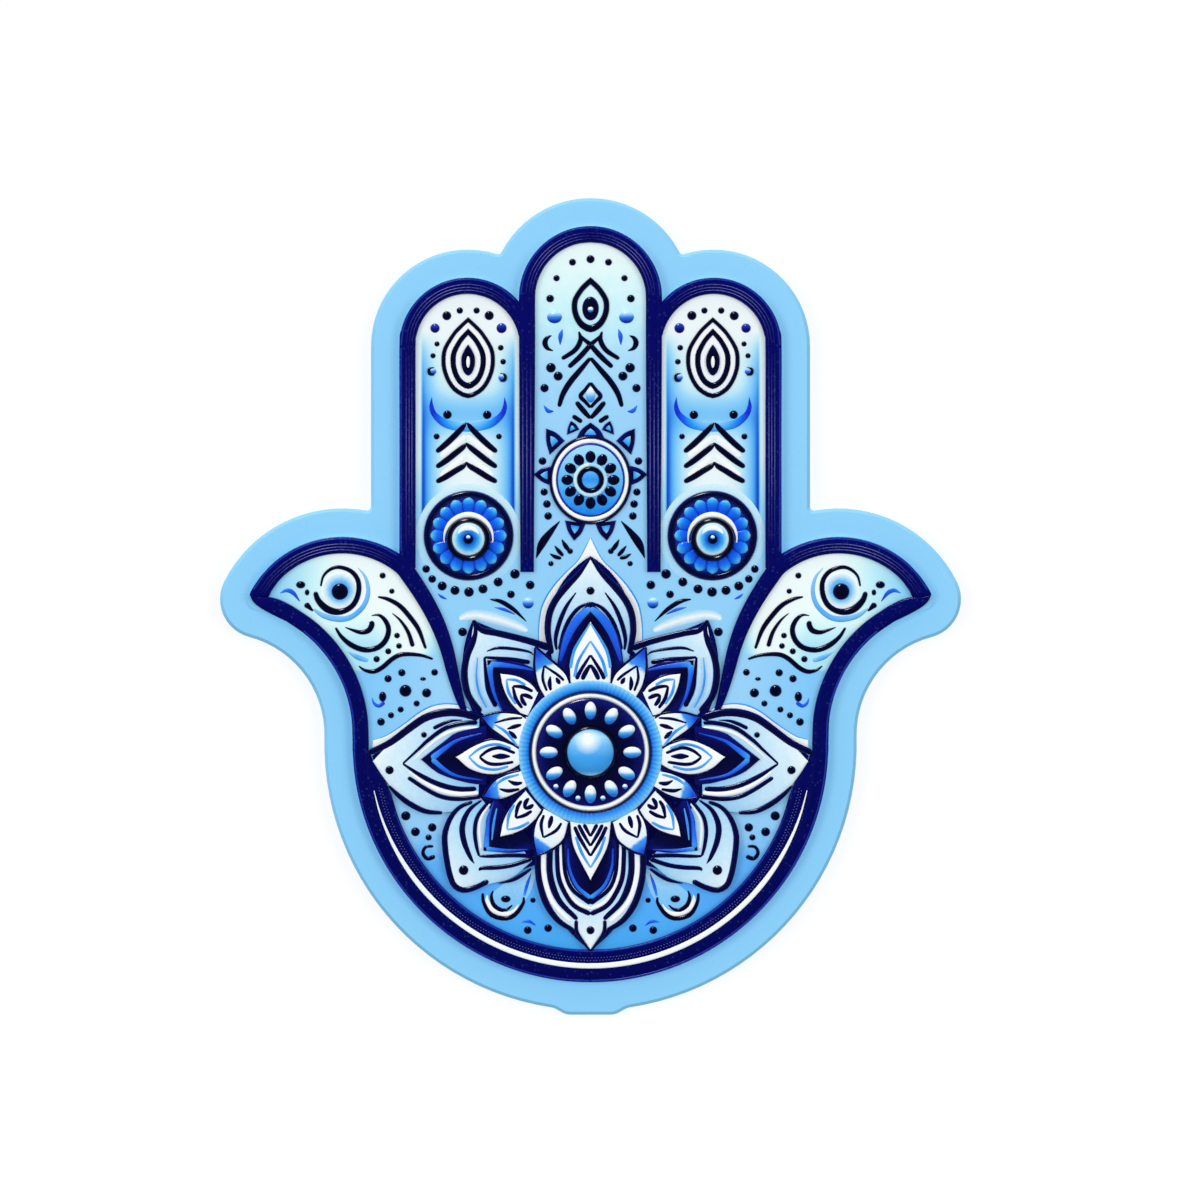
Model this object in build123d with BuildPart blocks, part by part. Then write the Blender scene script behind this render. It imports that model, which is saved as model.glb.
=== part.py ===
# Hamsa hand wall ornament: a plaque of layers glued face to face. Sizes in millimetres, angles in degrees.
# The back lies on Y = 0 and the front looks along -Y. Z runs up the fingers and X to the right.
# The origin is on the back face, on the axis of the lotus hub.
# Angles round a centre are counted from straight up towards the left.
import os
from math import atan2, cos, degrees, hypot, radians, sin, sqrt

from build123d import *

os.makedirs("parts", exist_ok=True)

# Layer thicknesses, from the back to the front
plate_t = 6.0
panel_t = 1.2
frame_t = 1.8
base_t = 1.0
leaf_t = 0.8
heart_t = 0.8
flame_t = 0.4
petal_t = 0.8
trim_t = 0.8
fit_gap = 0.15

# Sides of the small repeated pieces, which are cut with few faces
stud_sides = 6
disc_sides = 20
hub_sides = 40
flank_cuts = 5
drop_sides = 16

# Hand outline
finger_pitch = 30.8
middle_half = 14.1
side_half = 13.2
middle_arch_z = 113.6
side_arch_z = 101.6
finger_foot_z = 45.0
bowl_z = 1.9
bowl_r = 59.5
thumb_x = 62.1
thumb_z = 27.75
thumb_r = 26.0
thumb_tip_r = 2.6
thumb_gap = 5.5
flank_r = 32.5

# Frame, plate border and foot tab
band = 3.8
bowl_band = 8.2
bowl_band_top = -8.0
horn_angle = -46.0
horn_start_z = 46.4
horn_tip_at = (0.633, 72.1)
horn_palm_bulge = 3.2
horn_thumb_bulge = 0.2
border = 7.2
notch_r = 1.0
edge_bevel = 0.8
tab_drop = 1.1
tab_half = 6.2
tab_flare = 6.0
tab_rise = 3.5
tab_r = 4.5
line_inset = 4.2
line_w = 1.3
line_t = 0.4
line_top_z = -10.5

# Hanging bore in the back
hang_z = 92.0
hang_r = 3.25
hang_depth = 4.5

# Lotus: each petal has a tip, then a flank and a root on its upper and on its lower side.
# Points are (share, angle) round the hub, in shares of the room inside the bowl's rim, which the lotus fills.
top_petal = [(0.955, 0), (0.762, 13.9), (0.561, 21.7)]
upper_petal = [(0.862, 41.7), (0.653, 31.7), (0.546, 20.1), (0.768, 54.3), (0.595, 72.4)]
side_petal = [(1.064, 91.0), (0.840, 81.3), (0.616, 71.0), (0.936, 104.2), (0.723, 113.9)]
lower_petal = [(0.936, 135.7), (0.844, 122.5), (0.719, 113.2), (0.793, 141.9), (0.614, 153.8)]
bottom_petal = [(0.967, 180), (0.780, 166.0), (0.579, 152.6)]
top_heart = [(0.711, 0), (0.635, 9.5), (0.526, 18.0)]
upper_heart = [(0.696, 48.3), (0.610, 40.0), (0.534, 33.2), (0.622, 57.5), (0.519, 66.0)]
side_heart = [(0.830, 92.4), (0.698, 83.1), (0.558, 76.0), (0.710, 101.5), (0.559, 108.0)]
lower_heart = [(0.721, 133.0), (0.651, 125.5), (0.526, 117.6), (0.641, 141.5), (0.554, 147.5)]
bottom_heart = [(0.741, 180), (0.653, 170.0), (0.522, 162.5)]
heart_core = 0.565
leaf_root_r = 14.0
outline_w = 1.7
flame_back = 0.9
flame_half = 3.6
flame_fall = 4.2
flame_w = 1.3
white_tips = [(0.632, 0), (0.577, 47.5), (0.651, 91.5), (0.589, 133.0), (0.624, 180)]
tipped_tips = [(0.558, 24.5), (0.550, 69.5), (0.554, 112.5), (0.558, 156.0)]
white_half = 4.0
tipped_half = 3.3

# Lotus hub
collar_r = 17.9
collar_t = 1.2
collar_ribs = 48
rib_depth = 0.5
ring_r = 14.8
ring_t = 0.5
dish_r = 13.3
dish_t = 0.5
bead_ring_r = 10.2
bead_count = 12
bead_half = 1.4
bead_length = 4.4
bead_t = 0.8
bezel_r = 6.6
bezel_t = 0.8
stone_r = 5.8
stone_t = 2.6
stone_bevels = [(1.7, 1.9), (1.8, 1.1)]

# Eye medallion of a side finger
eye_z = 54.2
eye_r = 11.2
eye_rim_w = 1.8
eye_scallops = 18
eye_scallop_depth = 1.2
eye_white_r = 6.5
iris_ring_r = 5.6
iris_r = 4.1
pupil_r = 1.6
eye_step = 0.7

# Star medallion of the middle finger
star_z = 67.9
star_r = 10.9
star_rim_w = 1.0
star_white_w = 1.2
star_flower_r = 6.0
star_lobes = 12
star_lobe_r = 1.2
star_boss_r = 3.4
star_step = 0.6
star_points = [(0, 3.4, 3.4), (28, 1.9, 2.6), (48, 3.4, 3.8), (86, 2.2, 2.5), (160, 2.6, 3.6)]

# Finger motifs, heights counted from the arch centre of their finger
side_drop = (6.7, 7.4, -12.5)
side_drop_core = (4.4, 4.2, -10.2)
middle_drop = (4.7, 4.7, -8.7)
middle_drop_core = (2.1, -0.2, -5.8)
drop_line = 1.2
boat_half = 9.0
boat_top = -13.0
boat_dip = 4.6
boat_w = 3.4
chevron_tops = [-19.6, -24.5, -29.4]
chevron_half = 7.4
chevron_fall = 6.2
chevron_w = 1.3
feather_tops = [-11.4, -15.4]
feather_halves = [5.2, 7.8]
feather_falls = [5.2, 11.6]
diamond_half = 2.5
diamond_top = -21.4
diamond_length = 6.0
feather_v = -24.9
feather_half = 3.5
feather_fall = 4.0
arch_dot_r = 9.6
arch_dots = [(32.5, 1.2), (59.5, 1.3), (123.0, 1.1)]
eye_dot_gap = 3.0
eye_dots = [(154, 1.2), (167, 1.2), (181, 1.2), (195, 1.2), (211, 1.2), (230, 1.25)]

# Thumb motifs, counted from the thumb's arch centre
thumb_eye = (-0.9, 12.6)
thumb_eye_r = 5.6
thumb_eye_w = 1.3
thumb_pupil_r = 2.1
gill_arcs = [
    [(7.2, 6.5), (10.9, 1.6), (2.5, -1.0)],
    [(9.0, 11.0), (15.4, 7.2), (20.6, -1.0)],
    [(4.4, -6.3), (10.6, -6.3), (20.9, -4.2)],
]
gill_w = 1.5
thumb_dots = [(15.7, -12.4, 1.5), (21.0, -13.0, 1.2), (-10.4, 14.0, 1.1)]

# Palm blades and loose dots, counted from the hub
blade_tips = [(-7.6, 57.5), (-13.4, 48.8)]
blade_bulge = (-11.3, 52.6)
blade_w = 1.6
palm_dots = [(-11.5, 91.0, 1.1), (-9.9, 96.0, 1.25), (-8.2, 93.8, 1.15), (-15.2, 41.8, 1.1)]
palm_beads = [(-15.6, 37.3, 1.4), (-9.0, 108.8, 1.7)]

# Dots beside the petals and on their leaves, in shares of the bowl's room like the lotus, with their size
bowl_dots = [(0.855, 46.8, 1.1), (0.953, 109.1, 1.2), (0.940, 114.4, 1.15), (0.855, 115.4, 1.1)]
leaf_dots = [(0.786, 0, 1.05), (0.979, 95.0, 1.05), (0.844, 132.7, 1.15), (0.869, 180, 1.05)]

# Faces of the layers, counted forward from the back
plate_face = plate_t
panel_face = plate_face + panel_t
base_face = panel_face + base_t
leaf_face = base_face + leaf_t
heart_face = leaf_face + heart_t
petal_root_r = collar_r + fit_gap
collar_face = heart_face + collar_t
dish_face = collar_face + ring_t + dish_t


def swing(radius, angle, centre=(0, 0)):
    return (centre[0] - radius * sin(radians(angle)), centre[1] + radius * cos(radians(angle)))


def in_bowl(points):
    # points in shares of the room inside the bowl's rim
    return [(share * (bowl_r - bowl_band), *rest) for share, *rest in points]


def circles_meet(centre_a, radius_a, centre_b, radius_b):
    # where two circles cross, to the right of the way from the first centre to the second
    across = centre_b[0] - centre_a[0]
    up = centre_b[1] - centre_a[1]
    apart = hypot(across, up)
    along = (radius_a**2 - radius_b**2 + apart**2) / (2 * apart)
    off = sqrt(radius_a**2 - along**2)
    return (
        centre_a[0] + (along * across + off * up) / apart,
        centre_a[1] + (along * up - off * across) / apart,
    )


def beyond(start, through, distance):
    # point on the line from start through another point, at a distance from start
    length = hypot(through[0] - start[0], through[1] - start[1])
    return (
        start[0] + (through[0] - start[0]) * distance / length,
        start[1] + (through[1] - start[1]) * distance / length,
    )


def front(distance):
    return Plane.XZ.offset(distance)


def finish(piece, name):
    piece.part.label = name
    export_step(piece.part, f"parts/{name}.step")


def mirrored(points):
    return [(-x, z, *rest) for x, z, *rest in points]


def petal_face(petal, *through):
    # two arcs that meet in the tip, closed from root to root, by way of another point where one is given
    tip, flank, root = [swing(*point) for point in petal[:3]]
    if len(petal) == 5:
        low_flank, low_root = [swing(*point) for point in petal[3:]]
    else:
        low_flank, low_root = mirrored([flank, root])
    with BuildLine() as outline:
        ThreePointArc(root, flank, tip)
        ThreePointArc(tip, low_flank, low_root)
        Polyline(low_root, *through, root)
    make_face(outline.edges())


def other_side(petal):
    return [(radius, -angle) for radius, angle in petal]


def both_turns(angle):
    # an angle and its mirror image, one alone for a piece on the centre line
    return sorted({angle % 360, -angle % 360})


def slim_face(root_radius, tip_radius, angle, half):
    # pointed inner petal: its width swells from the root to a third of its length and falls to the tip
    shares = [step / flank_cuts for step in range(flank_cuts + 1)]
    edge = [(root_radius + share * (tip_radius - root_radius), half * slim_width(share)) for share in shares]
    right = [swing(hypot(radius, width), angle - degrees(atan2(width, radius))) for radius, width in edge]
    back = edge[-2::-1]
    left = [swing(hypot(radius, width), angle + degrees(atan2(width, radius))) for radius, width in back]
    Polygon(*right, *left, align=None)


def slim_width(share):
    return sin(radians(180 * (0.3 + 0.7 * share) ** 1.2)) * 1.05


def drop_face(shape, arch, inset=0.0, mode=Mode.ADD):
    # teardrop: a round foot, and flanks that narrow to the tip
    half, top, bottom = shape
    turns = [360 * step / drop_sides for step in range(drop_sides)]
    length = top - bottom - 3 * inset
    Polygon(
        *[
            (
                arch[0] + (half - inset) * sin(radians(turn)) * sin(radians(turn / 2)) ** 0.7 * 1.12,
                arch[1] + bottom + inset + length * (1 + cos(radians(turn))) / 2,
            )
            for turn in turns
        ],
        align=None,
        mode=mode,
    )


def ripple_face(radius, depth, count, cuts):
    # round outline with a number of shallow lobes, each drawn with the same number of straight cuts
    turns = [360 * step / (cuts * count) for step in range(cuts * count)]
    dips = [depth * (1 - abs(cos(radians(turn * count / 2)))) for turn in turns]
    Polygon(*[swing(radius - dip, turn) for turn, dip in zip(turns, dips)], align=None)


def stroke_face(start, middle, end, width):
    # curved stroke through three points, thickest in the middle and pointed at both ends
    bend = (2 * middle[0] - (start[0] + end[0]) / 2, 2 * middle[1] - (start[1] + end[1]) / 2)
    length = hypot(end[0] - start[0], end[1] - start[1])
    aside = ((start[1] - end[1]) * width / 2 / length, (end[0] - start[0]) * width / 2 / length)
    shares = [step / flank_cuts for step in range(flank_cuts + 1)]
    curve = [
        [(1 - u) ** 2 * start[i] + 2 * u * (1 - u) * bend[i] + u**2 * end[i] for i in (0, 1)]
        + [4 * u * (1 - u)]
        for u in shares
    ]
    near = [(x + aside[0] * swell, z + aside[1] * swell) for x, z, swell in curve]
    far = [(x - aside[0] * swell, z - aside[1] * swell) for x, z, swell in curve[-2:0:-1]]
    Polygon(*near, *far, align=None)


def chevron_face(apex_x, apex_z, half, fall, width):
    with Locations((apex_x, apex_z)):
        Polygon(
            (-half, -fall), (0, 0), (half, -fall), (half, -fall - width), (0, -width), (-half, -fall - width),
            align=None,
        )


def bowl_arc_face(radius, width, top):
    with Locations((0, bowl_z)):
        Circle(radius + width / 2)
        Circle(radius - width / 2, mode=Mode.SUBTRACT)
    with Locations((0, top)):
        Rectangle(4 * bowl_r, 4 * bowl_r, align=(Align.CENTER, Align.MIN), mode=Mode.SUBTRACT)


# Outline of the hand: two thumb arcs, two hollow flanks that run tangent into the bowl, three arched fingers
side_edge = finger_pitch + side_half + band
bowl = (0, bowl_z)
thumb = (-thumb_x, thumb_z)
flank = circles_meet(thumb, flank_r + thumb_gap, bowl, bowl_r + flank_r)
notch = (-side_edge, thumb_z + sqrt(thumb_r**2 - (thumb_x - side_edge) ** 2))
tip_centre = circles_meet(thumb, thumb_r - thumb_tip_r, flank, flank_r + thumb_tip_r)
tip_top = beyond(thumb, tip_centre, thumb_r)
tip_low = beyond(flank, tip_centre, flank_r)
waist = beyond(bowl, flank, bowl_r)
fingers = [
    (-finger_pitch, side_arch_z, side_half),
    (0, middle_arch_z, middle_half),
    (finger_pitch, side_arch_z, side_half),
]

thumb_top = swing(thumb_r, 20, thumb)
flank_top = swing(flank_r, -50, flank)
tip_turn = (tip_top[0] + tip_low[0] - 2 * tip_centre[0], tip_top[1] + tip_low[1] - 2 * tip_centre[1])
tip_end = beyond(tip_centre, (tip_centre[0] + tip_turn[0], tip_centre[1] + tip_turn[1]), thumb_tip_r)

with BuildSketch() as hand:
    with BuildLine():
        for flip in [list, mirrored]:
            ThreePointArc(*flip([notch, thumb_top, tip_top]))
            ThreePointArc(*flip([tip_top, tip_end, tip_low]))
            ThreePointArc(*flip([tip_low, flank_top, waist]))
        ThreePointArc(waist, (0, bowl_z - bowl_r), mirrored([waist])[0])
        Line(notch, mirrored([notch])[0])
    make_face()
    for x, z, half in fingers:
        with Locations((x, z)):
            Circle(half + band)
            Rectangle(2 * (half + band), z - thumb_z, align=(Align.CENTER, Align.MAX))

# Openings of the frame: finger slots, palm and thumbs, less the thumb horns and the bowl rim
horn_root = swing(thumb_r - band, horn_angle, thumb)
horn_join = swing(thumb_r - band, degrees(atan2(thumb[0] - notch[0], notch[1] - thumb[1])), thumb)
horn_start = (-finger_pitch - side_half, horn_start_z)
horn_tip = swing(*in_bowl([horn_tip_at])[0])


def bulged(start, end, bulge):
    # point off the middle of a straight line, to the right of its run from start to end
    length = hypot(end[0] - start[0], end[1] - start[1])
    return (
        (start[0] + end[0]) / 2 - bulge * (end[1] - start[1]) / length,
        (start[1] + end[1]) / 2 + bulge * (end[0] - start[0]) / length,
    )


with BuildSketch() as horn:
    with BuildLine():
        ThreePointArc(horn_start, bulged(horn_start, horn_tip, horn_palm_bulge), horn_tip)
        ThreePointArc(horn_tip, bulged(horn_root, horn_tip, horn_thumb_bulge), horn_root)
        Polyline(horn_root, horn_join, notch, horn_start)
    make_face()

with BuildSketch() as bowl_rim:
    bowl_arc_face(bowl_r - bowl_band / 2, bowl_band, bowl_band_top)

with BuildSketch() as openings:
    add(hand.sketch)
    offset(amount=-band)
    with Locations((0, finger_foot_z)):
        Rectangle(2 * side_edge, 4 * bowl_r, align=(Align.CENTER, Align.MIN), mode=Mode.SUBTRACT)
    for x, z, half in fingers:
        with Locations((x, z)):
            Circle(half)
            Rectangle(2 * half, z - finger_foot_z + fit_gap, align=(Align.CENTER, Align.MAX))
    add(horn.sketch, mode=Mode.SUBTRACT)
    add(mirror(horn.sketch, about=Plane.YZ), mode=Mode.SUBTRACT)
    add(bowl_rim.sketch, mode=Mode.SUBTRACT)

with BuildSketch() as lotus_room:
    add(openings.sketch)
    offset(amount=-fit_gap)

# Concave corners and foot of the plate, where its outline is rounded
foot_z = bowl_z - bowl_r - border - tab_drop
plate_thumb_r = thumb_r + border
plate_edge = side_edge + border
finger_dip = circles_meet(
    (0, middle_arch_z), middle_half + band + border, (-finger_pitch, side_arch_z), side_half + band + border
)
thumb_dip = (-plate_edge, thumb_z + sqrt(plate_thumb_r**2 - (thumb_x - plate_edge) ** 2))

with BuildPart() as back_plate:
    with BuildSketch(Plane.XZ):
        add(hand.sketch)
        offset(amount=border)
        with Locations((0, foot_z)):
            Polygon(
                (-tab_half, 0), (tab_half, 0),
                (tab_half + tab_flare, tab_rise), (-tab_half - tab_flare, tab_rise),
                align=None,
            )
    extrude(amount=plate_t)
    corners = back_plate.edges().filter_by(Axis.Y)
    fillet(corners.sort_by(Axis.Z)[:4], radius=tab_r)
    for x, z in [finger_dip, thumb_dip, *mirrored([finger_dip, thumb_dip])]:
        fillet(back_plate.edges().filter_by(Axis.Y).sort_by_distance((x, 0, z))[0], radius=notch_r)
    chamfer(back_plate.faces().sort_by(Axis.Y)[0].edges(), length=edge_bevel)
    with Locations(Plane((0, 0, hang_z), x_dir=(1, 0, 0), z_dir=(0, 1, 0))):
        Hole(hang_r, hang_depth)
finish(back_plate, "back_plate")

with BuildPart() as field_panel:
    with BuildSketch(front(plate_face)):
        add(hand.sketch)
    extrude(amount=panel_t)
finish(field_panel, "field_panel")

with BuildPart() as hand_frame:
    with BuildSketch(front(panel_face)):
        add(hand.sketch)
        add(openings.sketch, mode=Mode.SUBTRACT)
    extrude(amount=frame_t)
finish(hand_frame, "hand_frame")

with BuildPart() as bowl_line:
    with BuildSketch(front(panel_face + frame_t)):
        bowl_arc_face(bowl_r - line_inset, line_w, line_top_z)
    extrude(amount=line_t)
finish(bowl_line, "bowl_line")

# Lotus: a navy base, pale leaves on it, the navy heart rosette on the leaves, flames and inner petals on that
petals = {
    "top": (top_petal, top_heart),
    "upper_left": (upper_petal, upper_heart),
    "upper_right": (other_side(upper_petal), other_side(upper_heart)),
    "left": (side_petal, side_heart),
    "right": (other_side(side_petal), other_side(side_heart)),
    "lower_left": (lower_petal, lower_heart),
    "lower_right": (other_side(lower_petal), other_side(lower_heart)),
    "bottom": (bottom_petal, bottom_heart),
}
petals = {place: (in_bowl(petal), in_bowl(heart)) for place, (petal, heart) in petals.items()}

with BuildPart() as lotus_base:
    with BuildSketch(front(panel_face)):
        for petal, heart in petals.values():
            petal_face(petal, (0, 0))
        add(lotus_room.sketch, mode=Mode.INTERSECT)
    extrude(amount=base_t)
finish(lotus_base, "lotus_base")

for place, (petal, heart) in petals.items():
    with BuildPart() as leaf:
        with BuildSketch(front(base_face)):
            petal_face(petal, (0, 0))
            add(lotus_room.sketch, mode=Mode.INTERSECT)
            offset(amount=-outline_w)
            RegularPolygon(leaf_root_r, disc_sides, mode=Mode.SUBTRACT)
        extrude(amount=leaf_t)
    finish(leaf, f"petal_{place}")

with BuildPart() as heart_rosette:
    with BuildSketch(front(leaf_face)):
        for petal, heart in petals.values():
            petal_face(heart, (0, 0))
        RegularPolygon(heart_core * (bowl_r - bowl_band), disc_sides)
    extrude(amount=heart_t)
finish(heart_rosette, "heart_rosette")

with BuildPart() as heart_flames:
    with BuildSketch(front(heart_face)):
        for petal, heart in petals.values():
            radius, angle = heart[0]
            with Locations(Location(swing(radius - flame_back - flame_w, angle), angle)):
                chevron_face(0, flame_w, flame_half, flame_fall, flame_w)
    extrude(amount=flame_t)
finish(heart_flames, "heart_flames")

with BuildPart() as white_petals:
    with BuildSketch(front(heart_face)):
        for radius, angle in in_bowl(white_tips):
            for turn in both_turns(angle):
                slim_face(petal_root_r, radius, turn, white_half)
    extrude(amount=petal_t)
finish(white_petals, "white_petals")

with BuildPart() as tipped_petals:
    with BuildSketch(front(heart_face)):
        for radius, angle in in_bowl(tipped_tips):
            for turn in both_turns(angle):
                slim_face(petal_root_r, radius, turn, tipped_half)
    extrude(amount=petal_t)
finish(tipped_petals, "tipped_petals")

# Hub: ribbed collar, white ring and dish stacked on the rosette, then beads and a domed stone on its bezel
with BuildPart() as hub_collar:
    with BuildSketch(front(heart_face)):
        ripple_face(collar_r, rib_depth, collar_ribs, 2)
    extrude(amount=collar_t)
finish(hub_collar, "hub_collar")

with BuildPart() as hub_ring:
    with BuildSketch(front(collar_face)):
        RegularPolygon(ring_r, hub_sides)
    extrude(amount=ring_t)
finish(hub_ring, "hub_ring")

with BuildPart() as hub_dish:
    with BuildSketch(front(collar_face + ring_t)):
        RegularPolygon(dish_r, hub_sides)
    extrude(amount=dish_t)
finish(hub_dish, "hub_dish")

with BuildPart() as hub_beads:
    with BuildSketch(front(dish_face)):
        with PolarLocations(bead_ring_r, bead_count):
            Polygon(
                (-bead_length / 2, 0), (-bead_length / 4, bead_half * 0.8), (bead_length / 4, bead_half),
                (bead_length / 2, 0), (bead_length / 4, -bead_half), (-bead_length / 4, -bead_half * 0.8),
                align=None,
            )
    extrude(amount=bead_t)
finish(hub_beads, "hub_beads")

with BuildPart() as hub_bezel:
    with BuildSketch(front(dish_face)):
        RegularPolygon(bezel_r, hub_sides)
    extrude(amount=bezel_t)
finish(hub_bezel, "hub_bezel")

with BuildPart() as hub_stone:
    with BuildSketch(front(dish_face + bezel_t)):
        RegularPolygon(stone_r, hub_sides)
    extrude(amount=stone_t)
    for inset, drop in stone_bevels:
        crown = hub_stone.faces().sort_by(Axis.Y)[0]
        chamfer(crown.edges(), length=inset, length2=drop, reference=crown)
finish(hub_stone, "hub_stone")

# Eye medallions: discs of falling size, stacked
eye_discs = [("white", eye_white_r), ("ring", iris_ring_r), ("iris", iris_r), ("pupil", pupil_r)]
for side, x in [("left", -finger_pitch), ("right", finger_pitch)]:
    with BuildPart() as eye_rim:
        with BuildSketch(front(panel_face)):
            with Locations((x, eye_z)):
                RegularPolygon(eye_r, disc_sides)
        extrude(amount=eye_step)
    finish(eye_rim, f"{side}_eye_rim")
    with BuildPart() as eye_scallop:
        with BuildSketch(front(panel_face + eye_step)):
            with Locations((x, eye_z)):
                ripple_face(eye_r - eye_rim_w, eye_scallop_depth, eye_scallops, 4)
        extrude(amount=eye_step)
    finish(eye_scallop, f"{side}_eye_scallop")
    for level, (name, radius) in enumerate(eye_discs):
        with BuildPart() as eye_disc:
            with BuildSketch(front(panel_face + (2 + level) * eye_step)):
                with Locations((x, eye_z)):
                    RegularPolygon(radius, disc_sides)
            extrude(amount=eye_step)
        finish(eye_disc, f"{side}_eye_{name}")

# Star medallion: stacked discs, a flower of studs round a boss, pointed leaves round the rim
star = (0, star_z)
star_discs = [("rim", star_r), ("white", star_r - star_rim_w), ("disc", star_r - star_rim_w - star_white_w)]
for level, (name, radius) in enumerate(star_discs):
    with BuildPart() as star_disc:
        with BuildSketch(front(panel_face + level * star_step)):
            with Locations(star):
                RegularPolygon(radius, disc_sides)
        extrude(amount=star_step)
    finish(star_disc, f"star_{name}")

star_face = panel_face + len(star_discs) * star_step
with BuildPart() as star_studs:
    with BuildSketch(front(star_face)):
        with Locations(star):
            with PolarLocations(star_flower_r, star_lobes):
                RegularPolygon(star_lobe_r, stud_sides)
    extrude(amount=star_step)
finish(star_studs, "star_studs")

with BuildPart() as star_boss:
    with BuildSketch(front(star_face)):
        with Locations(star):
            RegularPolygon(star_boss_r, disc_sides)
    extrude(amount=star_step)
finish(star_boss, "star_boss")

with BuildPart() as star_leaves:
    with BuildSketch(front(panel_face)):
        for angle, half, length in star_points:
            for turn in both_turns(angle):
                with Locations(Location(swing(star_r + fit_gap, turn, star), turn)):
                    Polygon((-half, 0), (half, 0), (0, length), align=None)
    extrude(amount=trim_t)
finish(star_leaves, "star_leaves")

# Finger motifs on the field panel
middle_arch = (0, middle_arch_z)
for side, x in [("left", -finger_pitch), ("right", finger_pitch)]:
    arch = (x, side_arch_z)
    with BuildPart() as side_drops:
        with BuildSketch(front(panel_face)):
            drop_face(side_drop, arch)
            drop_face(side_drop, arch, drop_line, Mode.SUBTRACT)
            drop_face(side_drop_core, arch)
        extrude(amount=trim_t)
    finish(side_drops, f"{side}_drops")
    with BuildPart() as boat:
        with BuildSketch(front(panel_face)):
            top = side_arch_z + boat_top
            stroke_face((x - boat_half, top), (x, top - boat_dip), (x + boat_half, top), boat_w)
        extrude(amount=trim_t)
    finish(boat, f"{side}_boat")
    with BuildPart() as chevrons:
        with BuildSketch(front(panel_face)):
            for top in chevron_tops:
                chevron_face(x, side_arch_z + top, chevron_half, chevron_fall, chevron_w)
        extrude(amount=trim_t)
    finish(chevrons, f"{side}_chevrons")

with BuildPart() as middle_drops:
    with BuildSketch(front(panel_face)):
        drop_face(middle_drop, middle_arch)
        drop_face(middle_drop, middle_arch, drop_line, Mode.SUBTRACT)
        drop_face(middle_drop_core, middle_arch)
    extrude(amount=trim_t)
finish(middle_drops, "middle_drops")

with BuildPart() as middle_feather:
    with BuildSketch(front(panel_face)):
        for top, half, fall in zip(feather_tops, feather_halves, feather_falls):
            chevron_face(0, middle_arch_z + top, half, fall, chevron_w)
        with Locations((0, middle_arch_z + diamond_top)):
            Polygon((0, 0), (diamond_half, -diamond_length / 2), (0, -diamond_length),
                    (-diamond_half, -diamond_length / 2), align=None)
        chevron_face(0, middle_arch_z + feather_v - feather_fall, -feather_half, -feather_fall, chevron_w)
    extrude(amount=trim_t)
finish(middle_feather, "middle_feather")

# Thumb motifs, drawn for the left thumb and mirrored for the right one
for side, sign in [("left", 1), ("right", -1)]:
    centre = (-sign * thumb_x, thumb_z)
    eye = (centre[0] + sign * thumb_eye[0], centre[1] + thumb_eye[1])
    with BuildPart() as thumb_ring:
        with BuildSketch(front(panel_face)):
            with Locations(eye):
                RegularPolygon(thumb_eye_r, disc_sides)
                RegularPolygon(thumb_eye_r - thumb_eye_w, disc_sides, mode=Mode.SUBTRACT)
        extrude(amount=trim_t)
    finish(thumb_ring, f"{side}_thumb_ring")
    with BuildPart() as thumb_pupil:
        with BuildSketch(front(panel_face)):
            with Locations(eye):
                RegularPolygon(thumb_pupil_r, stud_sides)
        extrude(amount=trim_t)
    finish(thumb_pupil, f"{side}_thumb_pupil")
    with BuildPart() as thumb_gills:
        with BuildSketch(front(panel_face)):
            for gill in gill_arcs:
                stroke_face(*[(centre[0] + sign * x, centre[1] + z) for x, z in gill], gill_w)
        extrude(amount=trim_t)
    finish(thumb_gills, f"{side}_thumb_gills")

# Dots and beads: each list is drawn on the left and mirrored, a dot on the centre line once
dots = palm_dots + [(*swing(radius, turn), size) for radius, turn, size in in_bowl(bowl_dots)]
dots += [(-finger_pitch + x, side_arch_z + z, size) for turn, size in arch_dots
         for x, z in [swing(arch_dot_r, turn), swing(arch_dot_r, -turn)]]
dots += [(*swing(eye_r + eye_dot_gap, turn, (-finger_pitch, eye_z)), size) for turn, size in eye_dots]
dots += [(-thumb_x + x, thumb_z + z, size) for x, z, size in thumb_dots]

with BuildPart() as navy_dots:
    with BuildSketch(front(panel_face)):
        for x, z, size in dots + mirrored(dots):
            with Locations((x, z)):
                RegularPolygon(size, stud_sides)
    extrude(amount=trim_t)
finish(navy_dots, "navy_dots")

with BuildPart() as blue_beads:
    with BuildSketch(front(panel_face)):
        for x, z, size in palm_beads + mirrored(palm_beads):
            with Locations((x, z)):
                RegularPolygon(size, stud_sides)
    extrude(amount=bead_t)
finish(blue_beads, "blue_beads")

with BuildPart() as petal_dots:
    with BuildSketch(front(leaf_face)):
        for radius, angle, size in in_bowl(leaf_dots):
            for turn in both_turns(angle):
                with Locations(swing(radius, turn)):
                    RegularPolygon(size, stud_sides)
    extrude(amount=trim_t)
finish(petal_dots, "petal_dots")

with BuildPart() as palm_blades:
    with BuildSketch(front(panel_face)):
        for flip in [list, mirrored]:
            stroke_face(*flip([blade_tips[0], blade_bulge, blade_tips[1]]), blade_w)
    extrude(amount=trim_t)
finish(palm_blades, "palm_blades")
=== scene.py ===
# Hamsa hand wall ornament: looks of the layered plaque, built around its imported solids
# Sizes are millimetres. "out" is the distance from the centre line, so each motif is drawn once and mirrored
from math import pi, radians

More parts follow.
